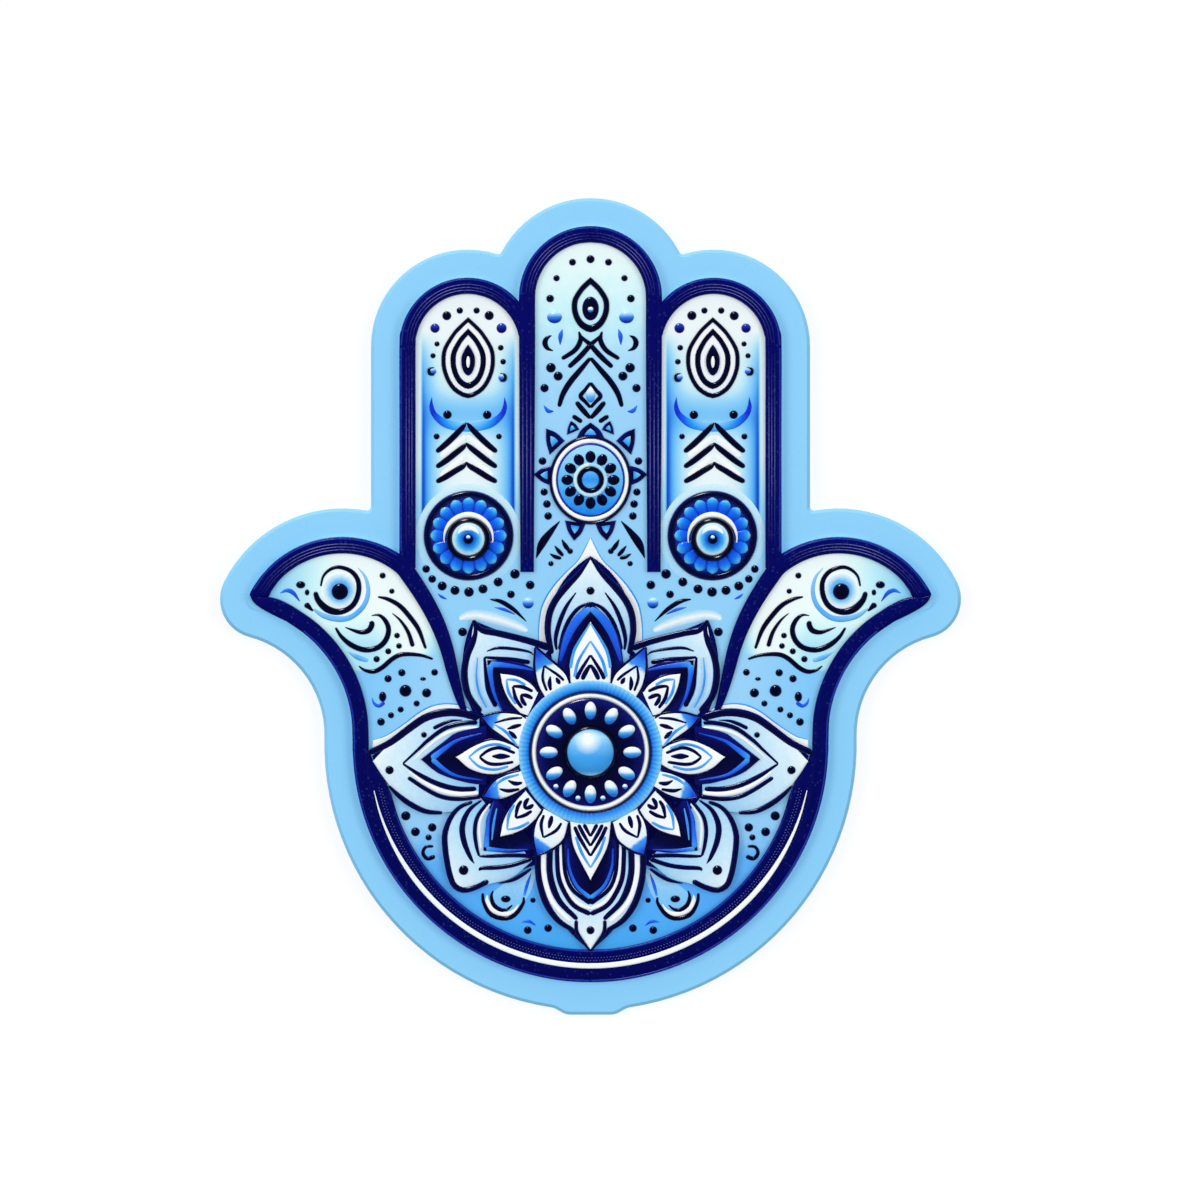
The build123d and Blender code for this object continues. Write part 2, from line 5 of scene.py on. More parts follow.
import bmesh
import bpy
import numpy as np
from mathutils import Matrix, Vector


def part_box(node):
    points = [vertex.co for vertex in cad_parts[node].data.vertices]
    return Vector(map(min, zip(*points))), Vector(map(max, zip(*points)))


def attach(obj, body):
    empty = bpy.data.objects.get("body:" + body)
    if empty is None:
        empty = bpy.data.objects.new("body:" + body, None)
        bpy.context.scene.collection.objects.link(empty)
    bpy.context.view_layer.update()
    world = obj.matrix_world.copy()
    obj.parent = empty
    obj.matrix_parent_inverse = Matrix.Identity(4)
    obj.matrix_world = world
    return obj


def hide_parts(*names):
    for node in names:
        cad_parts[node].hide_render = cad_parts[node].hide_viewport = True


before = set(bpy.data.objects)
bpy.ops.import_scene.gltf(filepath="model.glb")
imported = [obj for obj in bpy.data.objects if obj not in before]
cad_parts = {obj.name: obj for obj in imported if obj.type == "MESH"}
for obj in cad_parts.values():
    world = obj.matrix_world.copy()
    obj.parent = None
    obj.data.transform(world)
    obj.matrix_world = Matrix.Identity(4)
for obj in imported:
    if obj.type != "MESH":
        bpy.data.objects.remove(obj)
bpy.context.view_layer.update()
mm = 0.001
thinnest = 0.06  # width of the finest stroke
origin = (0, 0)  # axis of the lotus
print("frame loaded:", len(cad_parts), "nodes")


def frontOf(node):  # how far the front of a node stands from the wall
    return -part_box(node)[0].y / mm


# Curves and outlines

def curveThrough(points, steps):
    # Catmull-Rom curve through the points with every column carried along, steps crowded towards both ends
    points = np.array(points, float)
    padded = np.vstack([2 * points[0] - points[1], points, 2 * points[-1] - points[-2]])
    place = (1 - np.cos(np.linspace(0, pi, steps))) / 2 * (len(points) - 1)
    span = np.minimum(place.astype(int), len(points) - 2)
    t = (place - span)[:, None]
    a, b, c, d = (padded[span + k] for k in range(4))
    return 0.5 * (2 * b + (c - a) * t + (2 * a - 5 * b + 4 * c - d) * t**2 + (3 * b - a - 3 * c + d) * t**3)


def brush(widths, *points):
    # stroke through the points, its width eased along a few widths from start to end
    width = np.interp(np.linspace(0, 1, len(points)), np.linspace(0, 1, len(widths)), widths)
    return [(out, up, wide) for (out, up), wide in zip(points, width)]


def bothSides(lines):  # the same strokes or spots left and right of the centre line
    return [[(side * out, *rest) for out, *rest in line] for line in lines for side in (-1, 1)]


def mirrored(spots):  # all spots of a group on the left, then all on the right
    return [spot for side in bothSides([spots]) for spot in side]


def arcPoints(centre, radius, start, end, count=9):  # angles from straight up, growing outwards
    turn = np.radians(np.linspace(start, end, count))
    return list(zip(centre[0] + radius * np.sin(turn), centre[1] + radius * np.cos(turn)))


def roundOutline(radius, turns):
    turn = np.linspace(0, 2 * pi, turns, endpoint=False)
    return radius * np.stack([np.sin(turn), np.cos(turn)], axis=1)


def dropOutline(half, top, bottom):
    # pointed egg: shares of the half width and of the way down from the tip, carried round the foot to the other side
    side = [(0, 0), (0.3, 0.09), (0.58, 0.19), (0.93, 0.38), (1, 0.54), (0.94, 0.68), (0.76, 0.82), (0.48, 0.93)]
    loop = curveThrough([*side, (0, 1), *[(-wide, down) for wide, down in reversed(side)]], 61)[:-1]
    return loop * [half, bottom - top] + [0, top]


# Shells: each gives points (out, up, depth), faces, and two shares for the finish to follow

roundTop = np.array([((1 - np.cos(a)) / 2, np.sin(a)) for a in np.linspace(0, pi, 9)])
softTop = np.array([(0, 0), (0, 0.55), (0.03, 0.75), (0.1, 0.9), (0.25, 0.97), (0.5, 1),
                    (0.75, 0.97), (0.9, 0.9), (0.97, 0.75), (1, 0.55), (1, 0)])
sheetTop = np.array([(0, 0), *[(share, 1) for share in np.linspace(0, 1, 111)], (1, 0)])
domeTop = np.array([(np.cos(a), np.sin(a)) for a in np.linspace(0, 0.47 * pi, 7)])
discTop = np.array([(1, 0), (1, 0.7), (0.97, 0.9), (0.9, 1), (0.3, 1)])


def shell(grid, closed):
    # faces of tubes in a grid of tubes x steps x ring: the ring is closed, the run is closed too or capped
    index = np.arange(grid[..., 0].size).reshape(grid.shape[:3])
    here, ahead = index, np.roll(index, -1, axis=1)
    if not closed:
        here, ahead = here[:, :-1], ahead[:, :-1]
    quads = np.stack([here, ahead, np.roll(ahead, -1, axis=2), np.roll(here, -1, axis=2)], axis=3)
    caps = [] if closed else [*index[:, 0], *index[:, -1]]
    return [*quads.reshape(-1, 4).tolist(), *(cap.tolist() for cap in caps)]


def loft(edges, profile, base, rise, closed=False):
    # surface between two edges: the profile gives the share of the way across and the share of the rise
    low, high = edges
    share, height = profile.T
    plan = low[:, :, None] + (high - low)[:, :, None] * share[:, None]
    depth = base + np.broadcast_to(rise, low.shape[:2])[..., None] * height
    grid = np.concatenate([plan, depth[..., None]], axis=3)
    along = np.broadcast_to(np.linspace(0, 1, low.shape[1])[:, None], depth.shape)
    across = np.broadcast_to(share, depth.shape)
    return grid.reshape(-1, 3), shell(grid, closed), along.ravel(), across.ravel()


def strokes(lines, base, rise, steps=26, profile=roundTop, spread=1.0, ends=0.02):
    # edges half a width to each side of every curve, drawn in to a round end unless ends is 1;
    # the stroke is lower where it is narrow
    curves = np.stack([curveThrough(line, steps) for line in lines])
    centre, width = curves[..., :2], np.maximum(curves[..., 2] * spread, thinnest)
    run = np.gradient(centre, axis=1)
    run /= np.linalg.norm(run, axis=2, keepdims=True)
    aside = np.stack([-run[..., 1], run[..., 0]], axis=2)
    travel = np.linalg.norm(np.diff(centre, axis=1), axis=2).cumsum(axis=1)
    travel = np.pad(travel, ((0, 0), (1, 0)))
    inward = np.clip(np.minimum(travel, travel[:, -1:] - travel) / (width / 2), ends, 1)
    half = width / 2 * np.sqrt(1 - (1 - inward) ** 2)
    edges = centre - aside * half[..., None], centre + aside * half[..., None]
    return loft(edges, profile, base, rise * np.minimum(1, half / half.max(axis=1, keepdims=True)) ** 0.6)


def leaf(sideA, sideB, base, rise, profile=softTop, steps=30):
    # leaf between two curves that run from its root to its tip
    edges = [np.stack([curveThrough(side, steps)]) for side in (sideA, sideB)]
    return loft(edges, profile, base, rise)


def leaves(sides, base, rise, profile=softTop):
    # one leaf on the centre line where a single side is drawn, otherwise a pair of them left and right
    if len(sides) == 1:
        return [leaf([(-out, up) for out, up in sides[0]], sides[0], base, rise, profile)]
    return [leaf(*[[(way * out, up) for out, up in side] for side in sides], base, rise, profile) for way in (-1, 1)]


def ring(centre, outer, inner, base, rise, profile=roundTop):
    # closed band between two outlines round a centre
    edges = [(np.array(centre) + outline)[None] for outline in (outer, inner)]
    return loft(edges, profile, base, rise, True)


def roundRing(centre, outer, inner, base, rise, profile=roundTop, turns=72):
    return ring(centre, roundOutline(outer, turns), roundOutline(inner, turns), base, rise, profile)


def crown(centres, outlines, profile, base, rise):
    # rings of an outline drawn in towards its centre while they rise; along runs from its foot to its head
    share, height = profile.T
    centres = np.array(centres, float)
    offset = outlines[:, None] * share[:, None, None]
    depth = np.broadcast_to(base + rise * height[:, None], offset.shape[:3])
    grid = np.concatenate([centres[:, None, None] + offset, depth[..., None]], axis=3)
    reach = np.abs(outlines[..., 1]).max(axis=1)[:, None, None]
    along = 0.5 + 0.5 * offset[..., 1] / reach
    across = np.broadcast_to(share[:, None], along.shape)
    return grid.reshape(-1, 3), shell(grid, False), along.ravel(), across.ravel()


def disc(centre, radius, base, rise, profile=discTop, turns=72):
    return crown([centre], roundOutline(radius, turns)[None], profile, base, rise)


def mounds(spots, base, rise, turns=18):
    # domes on ellipses; a spot is out, up, half width, and where it isn't round half height and turn
    spots = np.array([(*spot, spot[2], 0)[:5] if len(spot) == 3 else (*spot, 0)[:5] for spot in spots], float)
    circle = roundOutline(1, turns) * spots[:, None, 2:4]
    tilt = np.radians(spots[:, 4])[:, None]
    outline = np.stack([circle[..., 0] * np.cos(tilt) - circle[..., 1] * np.sin(tilt),
                        circle[..., 0] * np.sin(tilt) + circle[..., 1] * np.cos(tilt)], axis=2)
    return crown(spots[:, :2], outline, domeTop, base, rise)


def around(centre, radius, count, half, high):  # spots on a circle, each turned to look outwards
    turn = np.arange(count) * 2 * pi / count
    return [(centre[0] + radius * np.sin(t), centre[1] + radius * np.cos(t), half, high, -np.degrees(t)) for t in turn]


def spokes(centre, reaches, widths, count):  # strokes that run outwards from a centre
    return [brush(widths, *[(centre[0] + reach * np.sin(t), centre[1] + reach * np.cos(t)) for reach in reaches])
            for t in np.arange(count) * 2 * pi / count]


def addPiece(name, shells, finish, nodes=()):
    # one object of one finish out of several closed shells, standing for the named solids
    starts = np.cumsum([0] + [len(one[0]) for one in shells])
    points = np.concatenate([one[0] for one in shells])
    faces = [[v + start for v in face] for one, start in zip(shells, starts) for face in one[1]]
    mesh = bpy.data.meshes.new(name)
    mesh.from_pydata((points[:, [0, 2, 1]] * [mm, -mm, mm]).tolist(), [], faces)
    work = bmesh.new()
    work.from_mesh(mesh)
    bmesh.ops.recalc_face_normals(work, faces=work.faces)
    work.to_mesh(mesh)
    work.free()
    for key, column in (("along", 2), ("across", 3)):
        values = np.concatenate([one[column] for one in shells])
        mesh.attributes.new(key, "FLOAT", "POINT").data.foreach_set("value", values)
    mesh.polygons.foreach_set("use_smooth", np.ones(len(mesh.polygons), bool))
    mesh.set_sharp_from_angle(angle=radians(50))
    made = bpy.data.objects.new(name, mesh)
    bpy.context.collection.objects.link(made)
    mesh.materials.append(finish)
    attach(made, "root")
    if nodes:
        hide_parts(*nodes)


def trim(name, finish, nodes=(), *, lines, base, rise, **shape):  # strokes drawn once and mirrored, as one piece
    addPiece(name, [strokes(bothSides(lines), base, rise, **shape)], finish, nodes)


def pair(name):  # the left and the right solid of that name
    return [f"left_{name}", f"right_{name}"]


# Finishes

def linear(hexText):
    # sRGB hex to linear light
    share = np.array([int(hexText[k:k + 2], 16) for k in (1, 3, 5)]) / 255
    light = np.where(share <= 0.04045, share / 12.92, ((share + 0.055) / 1.055) ** 2.4)
    return (*light.tolist(), 1.0)


def addNode(tree, kind, settings=None, links=None):
    made = tree.nodes.new(kind)
    for key, value in (settings or {}).items():
        if key == "stops":
            while len(made.color_ramp.elements) < len(value):
                made.color_ramp.elements.new(1.0)
            for element, (place, colour) in zip(made.color_ramp.elements, value):
                element.position = place
                element.color = linear(colour)
        elif isinstance(key, int) or key in made.inputs:
            made.inputs[key].default_value = value
        else:
            setattr(made, key, value)
    for key, source in (links or {}).items():
        tree.links.new(source, made.inputs[key])
    return made


def enamel(name, slot, stops, drive="along", streak=0.1, grain=1.2, gloss=(0.2, 0.34), bump=0.02, level=0.3):
    # glossy enamel: a colour ramp along one share of the piece, broken by brushed-in streaks of a grain in mm
    material = bpy.data.materials.new(name)
    material.use_nodes = True
    material["slot"] = slot
    tree = material.node_tree
    shader = tree.nodes["Principled BSDF"]
    place = addNode(tree, "ShaderNodeTexCoord")
    noise = addNode(tree, "ShaderNodeTexNoise", {"Scale": 1 / (grain * mm), "Detail": 3.0, "Roughness": 0.6},
                    {"Vector": place.outputs["Object"]})
    if isinstance(drive, str):
        field = addNode(tree, "ShaderNodeAttribute", {"attribute_name": drive}).outputs["Fac"]
    else:
        spot = addNode(tree, "ShaderNodeSeparateXYZ", links={"Vector": place.outputs["Object"]})
        field = addNode(tree, "ShaderNodeMapRange", {"From Min": drive[0] * mm, "From Max": drive[1] * mm},
                        {"Value": spot.outputs["Z"]}).outputs["Result"]
    broken = addNode(tree, "ShaderNodeMapRange", {"To Min": -streak, "To Max": streak},
                     {"Value": noise.outputs["Fac"]})
    tone = addNode(tree, "ShaderNodeMath", {"operation": "ADD"}, {0: field, 1: broken.outputs["Result"]})
    ramp = addNode(tree, "ShaderNodeValToRGB", {"stops": stops}, {"Fac": tone.outputs["Value"]})
    sheen = addNode(tree, "ShaderNodeMapRange", {"To Min": gloss[0], "To Max": gloss[1]},
                    {"Value": noise.outputs["Fac"]})
    relief = addNode(tree, "ShaderNodeBump", {"Strength": 0.35, "Distance": bump * mm},
                     {"Height": noise.outputs["Fac"]})
    tree.links.new(ramp.outputs["Color"], shader.inputs["Base Color"])
    tree.links.new(sheen.outputs["Result"], shader.inputs["Roughness"])
    tree.links.new(relief.outputs["Normal"], shader.inputs["Normal"])
    shader.inputs["IOR"].default_value = 1.49  # acrylic
    shader.inputs["Specular IOR Level"].default_value = level
    return material


def reopen(material):
    # tree, colour socket, colour so far and object coordinates of a finish that gets one more layer
    tree = material.node_tree
    colour = tree.nodes["Principled BSDF"].inputs["Base Color"]
    place = addNode(tree, "ShaderNodeTexCoord").outputs["Object"]
    return tree, colour, colour.links[0].from_socket, place


def overlay(tree, share, ground, layer):
    # a layer, given as a socket or a hex colour, over a ground; the mix node numbers its share and colours 0, 6 and 7
    settings, links = {"data_type": "RGBA"}, {0: share, 6: ground}
    if isinstance(layer, str):
        settings[7] = linear(layer)
    else:
        links[7] = layer
    return addNode(tree, "ShaderNodeMix", settings, links).outputs[2]


# cast acrylic sheet, cut and flame polished: even colour with a faint drift
skyAcrylic = enamel("castAcrylicSky", "sky_acrylic", [(0.3, "#8CD2FC"), (0.7, "#90D4FD")], (-66, 139), 0.25, 30)
# acrylic navy ink, gelled and glossy: nearly black in the middle, blue where it thins
navyInk = enamel("gelInkNavy", "navy_acrylic",
                 [(0, "#0A1474"), (0.2, "#040750"), (0.5, "#02032C"), (0.8, "#03053E"), (1, "#0A126C")],
                 "across", 0.15, 0.9, (0.1, 0.2), 0.03, 0.4)
# black navy ink of the dots: thick drops, blue where they thin at the foot
dotInk = enamel("gelInkDots", "navy_acrylic", [(0, "#01021A"), (0.6, "#020326"), (1, "#050848")], "across", 0.15, 0.8,
                (0.1, 0.2), 0.02, 0.4)
# white enamel, brushed on thick: blue ground shows faintly in its streaks
whiteInk = enamel("brushedEnamelWhite", "white_acrylic", [(0, "#E4F4FD"), (0.35, "#F4FBFE"), (1, "#FAFDFE")])
# pale leaf enamel: white at the tip of a petal, light blue at its root
iceInk = enamel("shadedEnamelIce", "ice_acrylic", [(0.1, "#8CCBF6"), (0.45, "#BDE4FB"), (0.85, "#EAF9FF")])
# royal blue enamel that lightens to azure along the stroke
royalInk = enamel("shadedEnamelRoyal", "royal_acrylic", [(0, "#46A8FB"), (0.35, "#1E6CF0"), (1, "#0A2CC8")])
azureInk = enamel("shadedEnamelAzure", "royal_acrylic", [(0, "#69BFFC"), (0.5, "#2C95F6"), (1, "#5DB6FB")])
# blue beads of pressed glass with painted light: a pale painted highlight above, deep blue painted shade below
beadGlassPaintedLight = enamel("pressedGlassBluePaintedLight", "royal_acrylic", [(0.15, "#0B2FB4"), (0.5, "#2E86F2"), (0.85, "#BFE9FF")],
                   "along", 0.05, 1.0, (0.08, 0.14), 0.0, 0.6)
# beads with painted light: a white painted highlight at the head, azure painted shade at the foot, head above and foot
# below
dropGlassPaintedLight = enamel("pressedGlassDropPaintedLight", "ice_acrylic",
                   [(0.15, "#1D78E8"), (0.42, "#55B4FB"), (0.6, "#E4F6FF"), (1, "#FDFFFF")],
                   "along", 0.06, 1.0, (0.08, 0.16), 0.0, 0.6)
# tips of the inner petals: white enamel that ends in a hard line against azure
tippedInk = enamel("dippedEnamelTip", "ice_acrylic",
                   [(0, "#E6F6FE"), (0.3, "#F8FDFF"), (0.54, "#E2F4FE"), (0.58, "#3C98F4"), (0.74, "#1450DC"),
                    (1, "#081C90")],
                   "along", 0.04)
# wash of thinned azure enamel that dries to nothing where its tone is low
washInk = enamel("washedEnamelAzure", "field_acrylic",
                 [(0, "#FAFDFE"), (0.15, "#CDF1FB"), (0.3, "#9BDAFD"), (0.45, "#78C6FB"), (0.6, "#55AFF8"),
                  (0.8, "#1E6EE1"), (1, "#0828A5")],
                 "along", 0.015, 2.0)
# mist of pale enamel round the eyes
mistInk = enamel("mistedEnamelPale", "field_acrylic", [(0, "#A0D9FA"), (0.5, "#B2E2FB"), (1, "#D2F4FD")])
# shaded iris and discs with painted light: azure painted shade below, a white painted highlight above
irisInkPaintedLight = enamel("shadedEnamelIris", "ice_acrylic",
                 [(0.05, "#1E86EE"), (0.4, "#5FB8FA"), (0.75, "#DFF5FF"), (1, "#F8FEFF")])
print("finishes ready")

# Back plate, field panel and lotus base keep their solids and only get a finish

fieldTone = {
    "low": -58, "high": 128,
    "palm": [(0.05, "#46ACF6"), (0.13, "#58AEFC"), (0.165, "#62B4FC"), (0.21, "#94D0FB"), (0.5, "#92D3FB"),
             (0.62, "#96D2FC"), (0.78, "#9CD6FC"), (0.84, "#ACE0FD"), (0.88, "#BEEDFC"), (0.915, "#D0F7FD"),
             (0.96, "#E4FCFD"), (1, "#F0FDFE")],
    "beakFrom": 62, "beakTo": 79,
    "gillUp": 36, "gillLow": 27, "gillFrom": 47, "gillTo": 54, "gillShare": 0.66,
    "rootUp": 34, "rootLow": 24.5, "rootFrom": 43, "rootTo": 39, "rootShare": 0.9,
    "aboveWave": [(0, "#F0FDFE"), (0.25, "#DEFCFD"), (0.5, "#C2F1FC"), (0.75, "#A8E3FA"), (1, "#8CD4FC")],
    "belowWave": [(0, "#9BD5FC"), (1, "#82CBFD")], "lowFrom": 38, "lowTo": 55,
    "waveFrom": 48, "waveTo": 53, "waveUp": 24.2, "waveLow": 20.4, "waveSoft": 0.4,
    "hornLow": (10, 31.5, 50, 44.7), "hornHigh": (32, 38.2, 52, 49.8), "hornSoft": (-0.5, 0.8), "thumbFoot": (-4, 2),
}
# shaded enamel of the field: light blue, paler up the middle finger
fieldInk = enamel("shadedEnamelField", "field_acrylic", fieldTone["palm"],
                  (fieldTone["low"], fieldTone["high"]), 0.03, 3.0, (0.25, 0.4), 0.01, 0.2)
fieldTree, fieldColour, palmColour, fieldPlace = reopen(fieldInk)
fieldSpot = addNode(fieldTree, "ShaderNodeSeparateXYZ", links={"Vector": fieldPlace})
outward = addNode(fieldTree, "ShaderNodeMath", {"operation": "ABSOLUTE"}, {0: fieldSpot.outputs["X"]}).outputs["Value"]
upward = fieldSpot.outputs["Z"]


def fieldRange(source, start, end, low=0.0, high=1.0, clamp=True):  # share of the way between two places in mm
    settings = {"clamp": clamp, "From Min": start * mm, "From Max": end * mm, "To Min": low, "To Max": high}
    return addNode(fieldTree, "ShaderNodeMapRange", settings, {"Value": source}).outputs["Result"]


def fieldMath(operation, first, second):
    return addNode(fieldTree, "ShaderNodeMath", {"operation": operation}, {0: first, 1: second}).outputs["Value"]


def fieldRamp(stops, share):
    return addNode(fieldTree, "ShaderNodeValToRGB", {"stops": stops}, {"Fac": share}).outputs["Color"]


def bluePatch(name):  # comes in downwards between two heights, and sideways between two distances
    up, low, start, end, share = (fieldTone[name + key] for key in ("Up", "Low", "From", "To", "Share"))
    return fieldMath("MULTIPLY", fieldRange(upward, up, low, 0, share), fieldRange(outward, start, end))


# thumbs: bluer at the beak, the gills and the root, one flat blue below the wave, whose line steps down outwards
beakShare = fieldRange(outward, fieldTone["beakFrom"], fieldTone["beakTo"])
bluer = fieldMath("MAXIMUM", fieldMath("MAXIMUM", beakShare, bluePatch("gill")), bluePatch("root"))
aboveWave = fieldRamp(fieldTone["aboveWave"], bluer)
belowWave = fieldRamp(fieldTone["belowWave"], fieldRange(outward, fieldTone["lowFrom"], fieldTone["lowTo"]))
waveLine = fieldRange(outward, fieldTone["waveFrom"], fieldTone["waveTo"],
                      fieldTone["waveUp"] * mm, fieldTone["waveLow"] * mm)
underWave = fieldRange(fieldMath("SUBTRACT", upward, waveLine), fieldTone["waveSoft"], -fieldTone["waveSoft"])
thumbColour = overlay(fieldTree, underWave, aboveWave, belowWave)
# the horn parts thumb from palm along two slopes, the outer of which holds at each height
slopes = [fieldRange(upward, low, high, start * mm, end * mm, False)
          for low, start, high, end in (fieldTone["hornLow"], fieldTone["hornHigh"])]
beyondHorn = fieldMath("SUBTRACT", outward, fieldMath("MAXIMUM", *slopes))
inThumb = fieldMath("MULTIPLY", fieldRange(beyondHorn, *fieldTone["hornSoft"]),
                    fieldRange(upward, *fieldTone["thumbFoot"]))
fieldTree.links.new(overlay(fieldTree, inThumb, palmColour, thumbColour), fieldColour)

# navy acrylic, stippled by the print roller: faint specks about a millimetre apart
stipple = {"away": 1.1, "randomness": 0.8, "edge": 0.3, "heart": 0.1, "share": 0.16, "colour": "#5A66AC"}
bandInk = enamel("stippledAcrylicNavy", "navy_acrylic", [(0.2, "#030756"), (0.5, "#04085E"), (0.8, "#050862")],
                 (-58, 132), 0.5, 2.2, (0.12, 0.22), 0.02, 0.12)
bandTree, bandColour, navyColour, bandPlace = reopen(bandInk)
flat = addNode(bandTree, "ShaderNodeVectorMath", {"operation": "MULTIPLY", 1: (1, 0, 1)}, {0: bandPlace})
specks = addNode(bandTree, "ShaderNodeTexVoronoi",
                 {"Scale": 1 / (stipple["away"] * mm), "Randomness": stipple["randomness"]},
                 {"Vector": flat.outputs["Vector"]})
speckShare = addNode(bandTree, "ShaderNodeMapRange",
                     {"From Min": stipple["edge"], "From Max": stipple["heart"], "To Max": stipple["share"]},
                     {"Value": specks.outputs["Distance"]})
bandTree.links.new(overlay(bandTree, speckShare.outputs["Result"], navyColour, stipple["colour"]), bandColour)

kept = {"back_plate": skyAcrylic, "field_panel": fieldInk, "lotus_base": bandInk}
for node, finish in kept.items():
    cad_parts[node].data.materials.clear()
    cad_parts[node].data.materials.append(finish)

fieldFace = frontOf("field_panel")
fieldBase = fieldFace - 0.1  # strokes on the field start a tenth below its face
frameFace = frontOf("hand_frame")
baseFace = frontOf("lotus_base")
leafFace = frontOf("petal_top")
heartFace = frontOf("heart_rosette")
whiteFace = frontOf("white_petals")

# Frame: pillowed ribbons along the arcs of the hand, one divider between fingers, one horn between thumb and palm
hand = {
    "middle": (0, 113.6), "middleR": 17.9, "side": (30.8, 101.6), "sideR": 17.0, "edge": 47.8, "notchUp": 49.5,
    "thumb": (62.1, 27.75), "thumbR": 26.0, "flank": (92.0, 4.3), "flankR": 32.5, "bowl": (0, 1.9), "bowlR": 59.5,
    "band": 4.1, "beak": (85.2, 39.3), "rimR": 53.5, "footUp": 45, "hemR": 51.7, "lineR": 55.3,
    "pointRows": (53.3, 53.95), "pointR": 0.17, "hairInsets": (1.75, 2.5, 3.2), "dividerHairs": (14.9, 15.9, 16.9),
    "hairWide": 0.16,
}
band = hand["band"]
halfBand = band / 2
sideRun = [(hand["edge"] - halfBand, up) for up in (46, 64, 82)]
sideRun += arcPoints(hand["side"], hand["sideR"] - halfBand, 90, -90, 15)
sideRun += [(hand["side"][0] - hand["sideR"] + halfBand, up) for up in (82, 64, hand["footUp"])]
middleRun = arcPoints(hand["middle"], hand["middleR"] - halfBand, -10, 90)
middleRun += [(hand["middleR"] - halfBand, up) for up in (104, 84, 64, hand["footUp"])]
thumbRun = arcPoints(hand["thumb"], hand["thumbR"] - halfBand, 52, -38)
horn = [(45.2, 44), (41.3, 38), (38.2, 32), (36, 26), (34.5, 20), (32.9, 14), (31.5, 10)]
flankRun = [(79, 36.3), (76.5, 35.2), *arcPoints(hand["flank"], hand["flankR"] + halfBand, -30, -92, 7)]
flankRun += arcPoints(hand["bowl"], hand["bowlR"] - halfBand, 92, 184, 13)
ribbons = [
    brush([*[band] * 5, 3.8, 3.4], *sideRun),
    brush([*[band] * 10, 3.9, 3.6, 3.4], *middleRun),
    brush([4.2, 4.2, 4.2, 4.2, 4.4, 3.9, 3.1, 1.4], *thumbRun, *horn),
    brush([band], *flankRun),
    brush([1.2, 2, 3.6, *[4.3] * 13], (55.7, -0.2), (55.3, -2.4), (54.5, -5), (53.4, -8),
          *arcPoints(hand["bowl"], hand["rimR"], 104, 184, 12)),
]
# the beak of each thumb is mitred out of two leaves
mitre = [(80.6, 38.8), (83, 38.9), hand["beak"]]
beakSides = [[[*arcPoints(hand["thumb"], hand["thumbR"], 46, 62, 4), hand["beak"]],
              [(77.8, 43), (79.7, 40.3), *mitre]],
             [[(75.2, 36.9), (78, 38.2), *mitre],
              [(76.2, 32.7), (79.5, 34.3), (82.7, 36.1), (84.4, 37.6), hand["beak"]]]]
frameRise = frameFace - fieldBase
beaks = [one for sides in beakSides for one in leaves(sides, fieldBase, frameRise)]
addPiece("handFrame", [strokes(bothSides(ribbons), fieldBase, frameRise, 130, softTop, ends=1), *beaks], bandInk,
         ["hand_frame"])


def handLines(inset, width, runs):
    # strokes along the outline of the hand at an inset from its edge
    edge = hand["edge"] - inset
    lines = {
        "side": arcPoints(hand["side"], hand["sideR"] - inset, -47, 90),
        "thumb": arcPoints(hand["thumb"], hand["thumbR"] - inset, -33, 60),
        "flank": arcPoints(hand["flank"], hand["flankR"] + inset, -38, -92),
        "bowl": arcPoints(hand["bowl"], hand["bowlR"] - inset, 88, 180, 15),
        "middle": arcPoints(hand["middle"], hand["middleR"] - inset, 0, 88),
        "straight": [(edge, up) for up in (101, 84, 67, hand["notchUp"] + inset)],
    }
    return bothSides([brush([width], *lines[run]) for run in runs])


# thinned blue ink that bleeds along the edges of the navy
edgeInk = enamel("thinnedInkEdge", "navy_acrylic", [(0, "#0B1E86"), (0.5, "#1A35B0"), (1, "#0B1E86")], "across", 0.2)
# pale hairlines scratched through the navy, fading at both ends
hairInk = enamel("scratchedInkHair", "navy_acrylic",
                 [(0.05, "#050862"), (0.3, "#3A4084"), (0.5, "#7A80B4"), (0.7, "#3A4084"), (0.95, "#050862")],
                 "along", 0.22, 0.7)
everyRun = ("side", "thumb", "flank", "bowl", "middle", "straight")
arches = ("side", "thumb", "middle", "straight")
bowlHem = brush([0.2, 0.6, 0.6], *arcPoints(hand["bowl"], hand["hemR"], 102, 181, 13))
addPiece("frameEdgeLines", [strokes(handLines(0.5, 0.5, everyRun), frameFace - 0.4, 0.45, 60),
                            strokes(bothSides([bowlHem]), frameFace - 0.5, 0.45, 60)], edgeInk)
hair = [line for inset in hand["hairInsets"] for line in handLines(inset, hand["hairWide"], arches)]
hair += bothSides([brush([hand["hairWide"]], *[(out, up) for up in (98, 82, 66, 48)])
                   for out in hand["dividerHairs"]])
addPiece("frameHairlines", [strokes(hair, frameFace - 0.1, 0.14, 60),
                            strokes(handLines(0.12, 0.18, everyRun), frameFace - 0.8, 0.5, 60)], hairInk)
bowlHalf = arcPoints(hand["bowl"], hand["lineR"], 180, 102, 15)
bowlStroke = brush([0.2, *[1.3] * 5, 0.2], *[(-out, up) for out, up in reversed(bowlHalf)], *bowlHalf[1:])
addPiece("bowlLine", [strokes([bowlStroke], frameFace - 0.1, 0.4, 200, softTop)], whiteInk, ["bowl_line"])
bowlPoints = [(*place, hand["pointR"]) for row, radius in enumerate(hand["pointRows"])
              for place in arcPoints(hand["bowl"], radius, 102 + 0.4 * row, 258 + 0.4 * row, 190)]
addPiece("bowlPoints", [mounds(bowlPoints, frameFace - 0.12, 0.2, 6)], hairInk)
print("frame dressed")

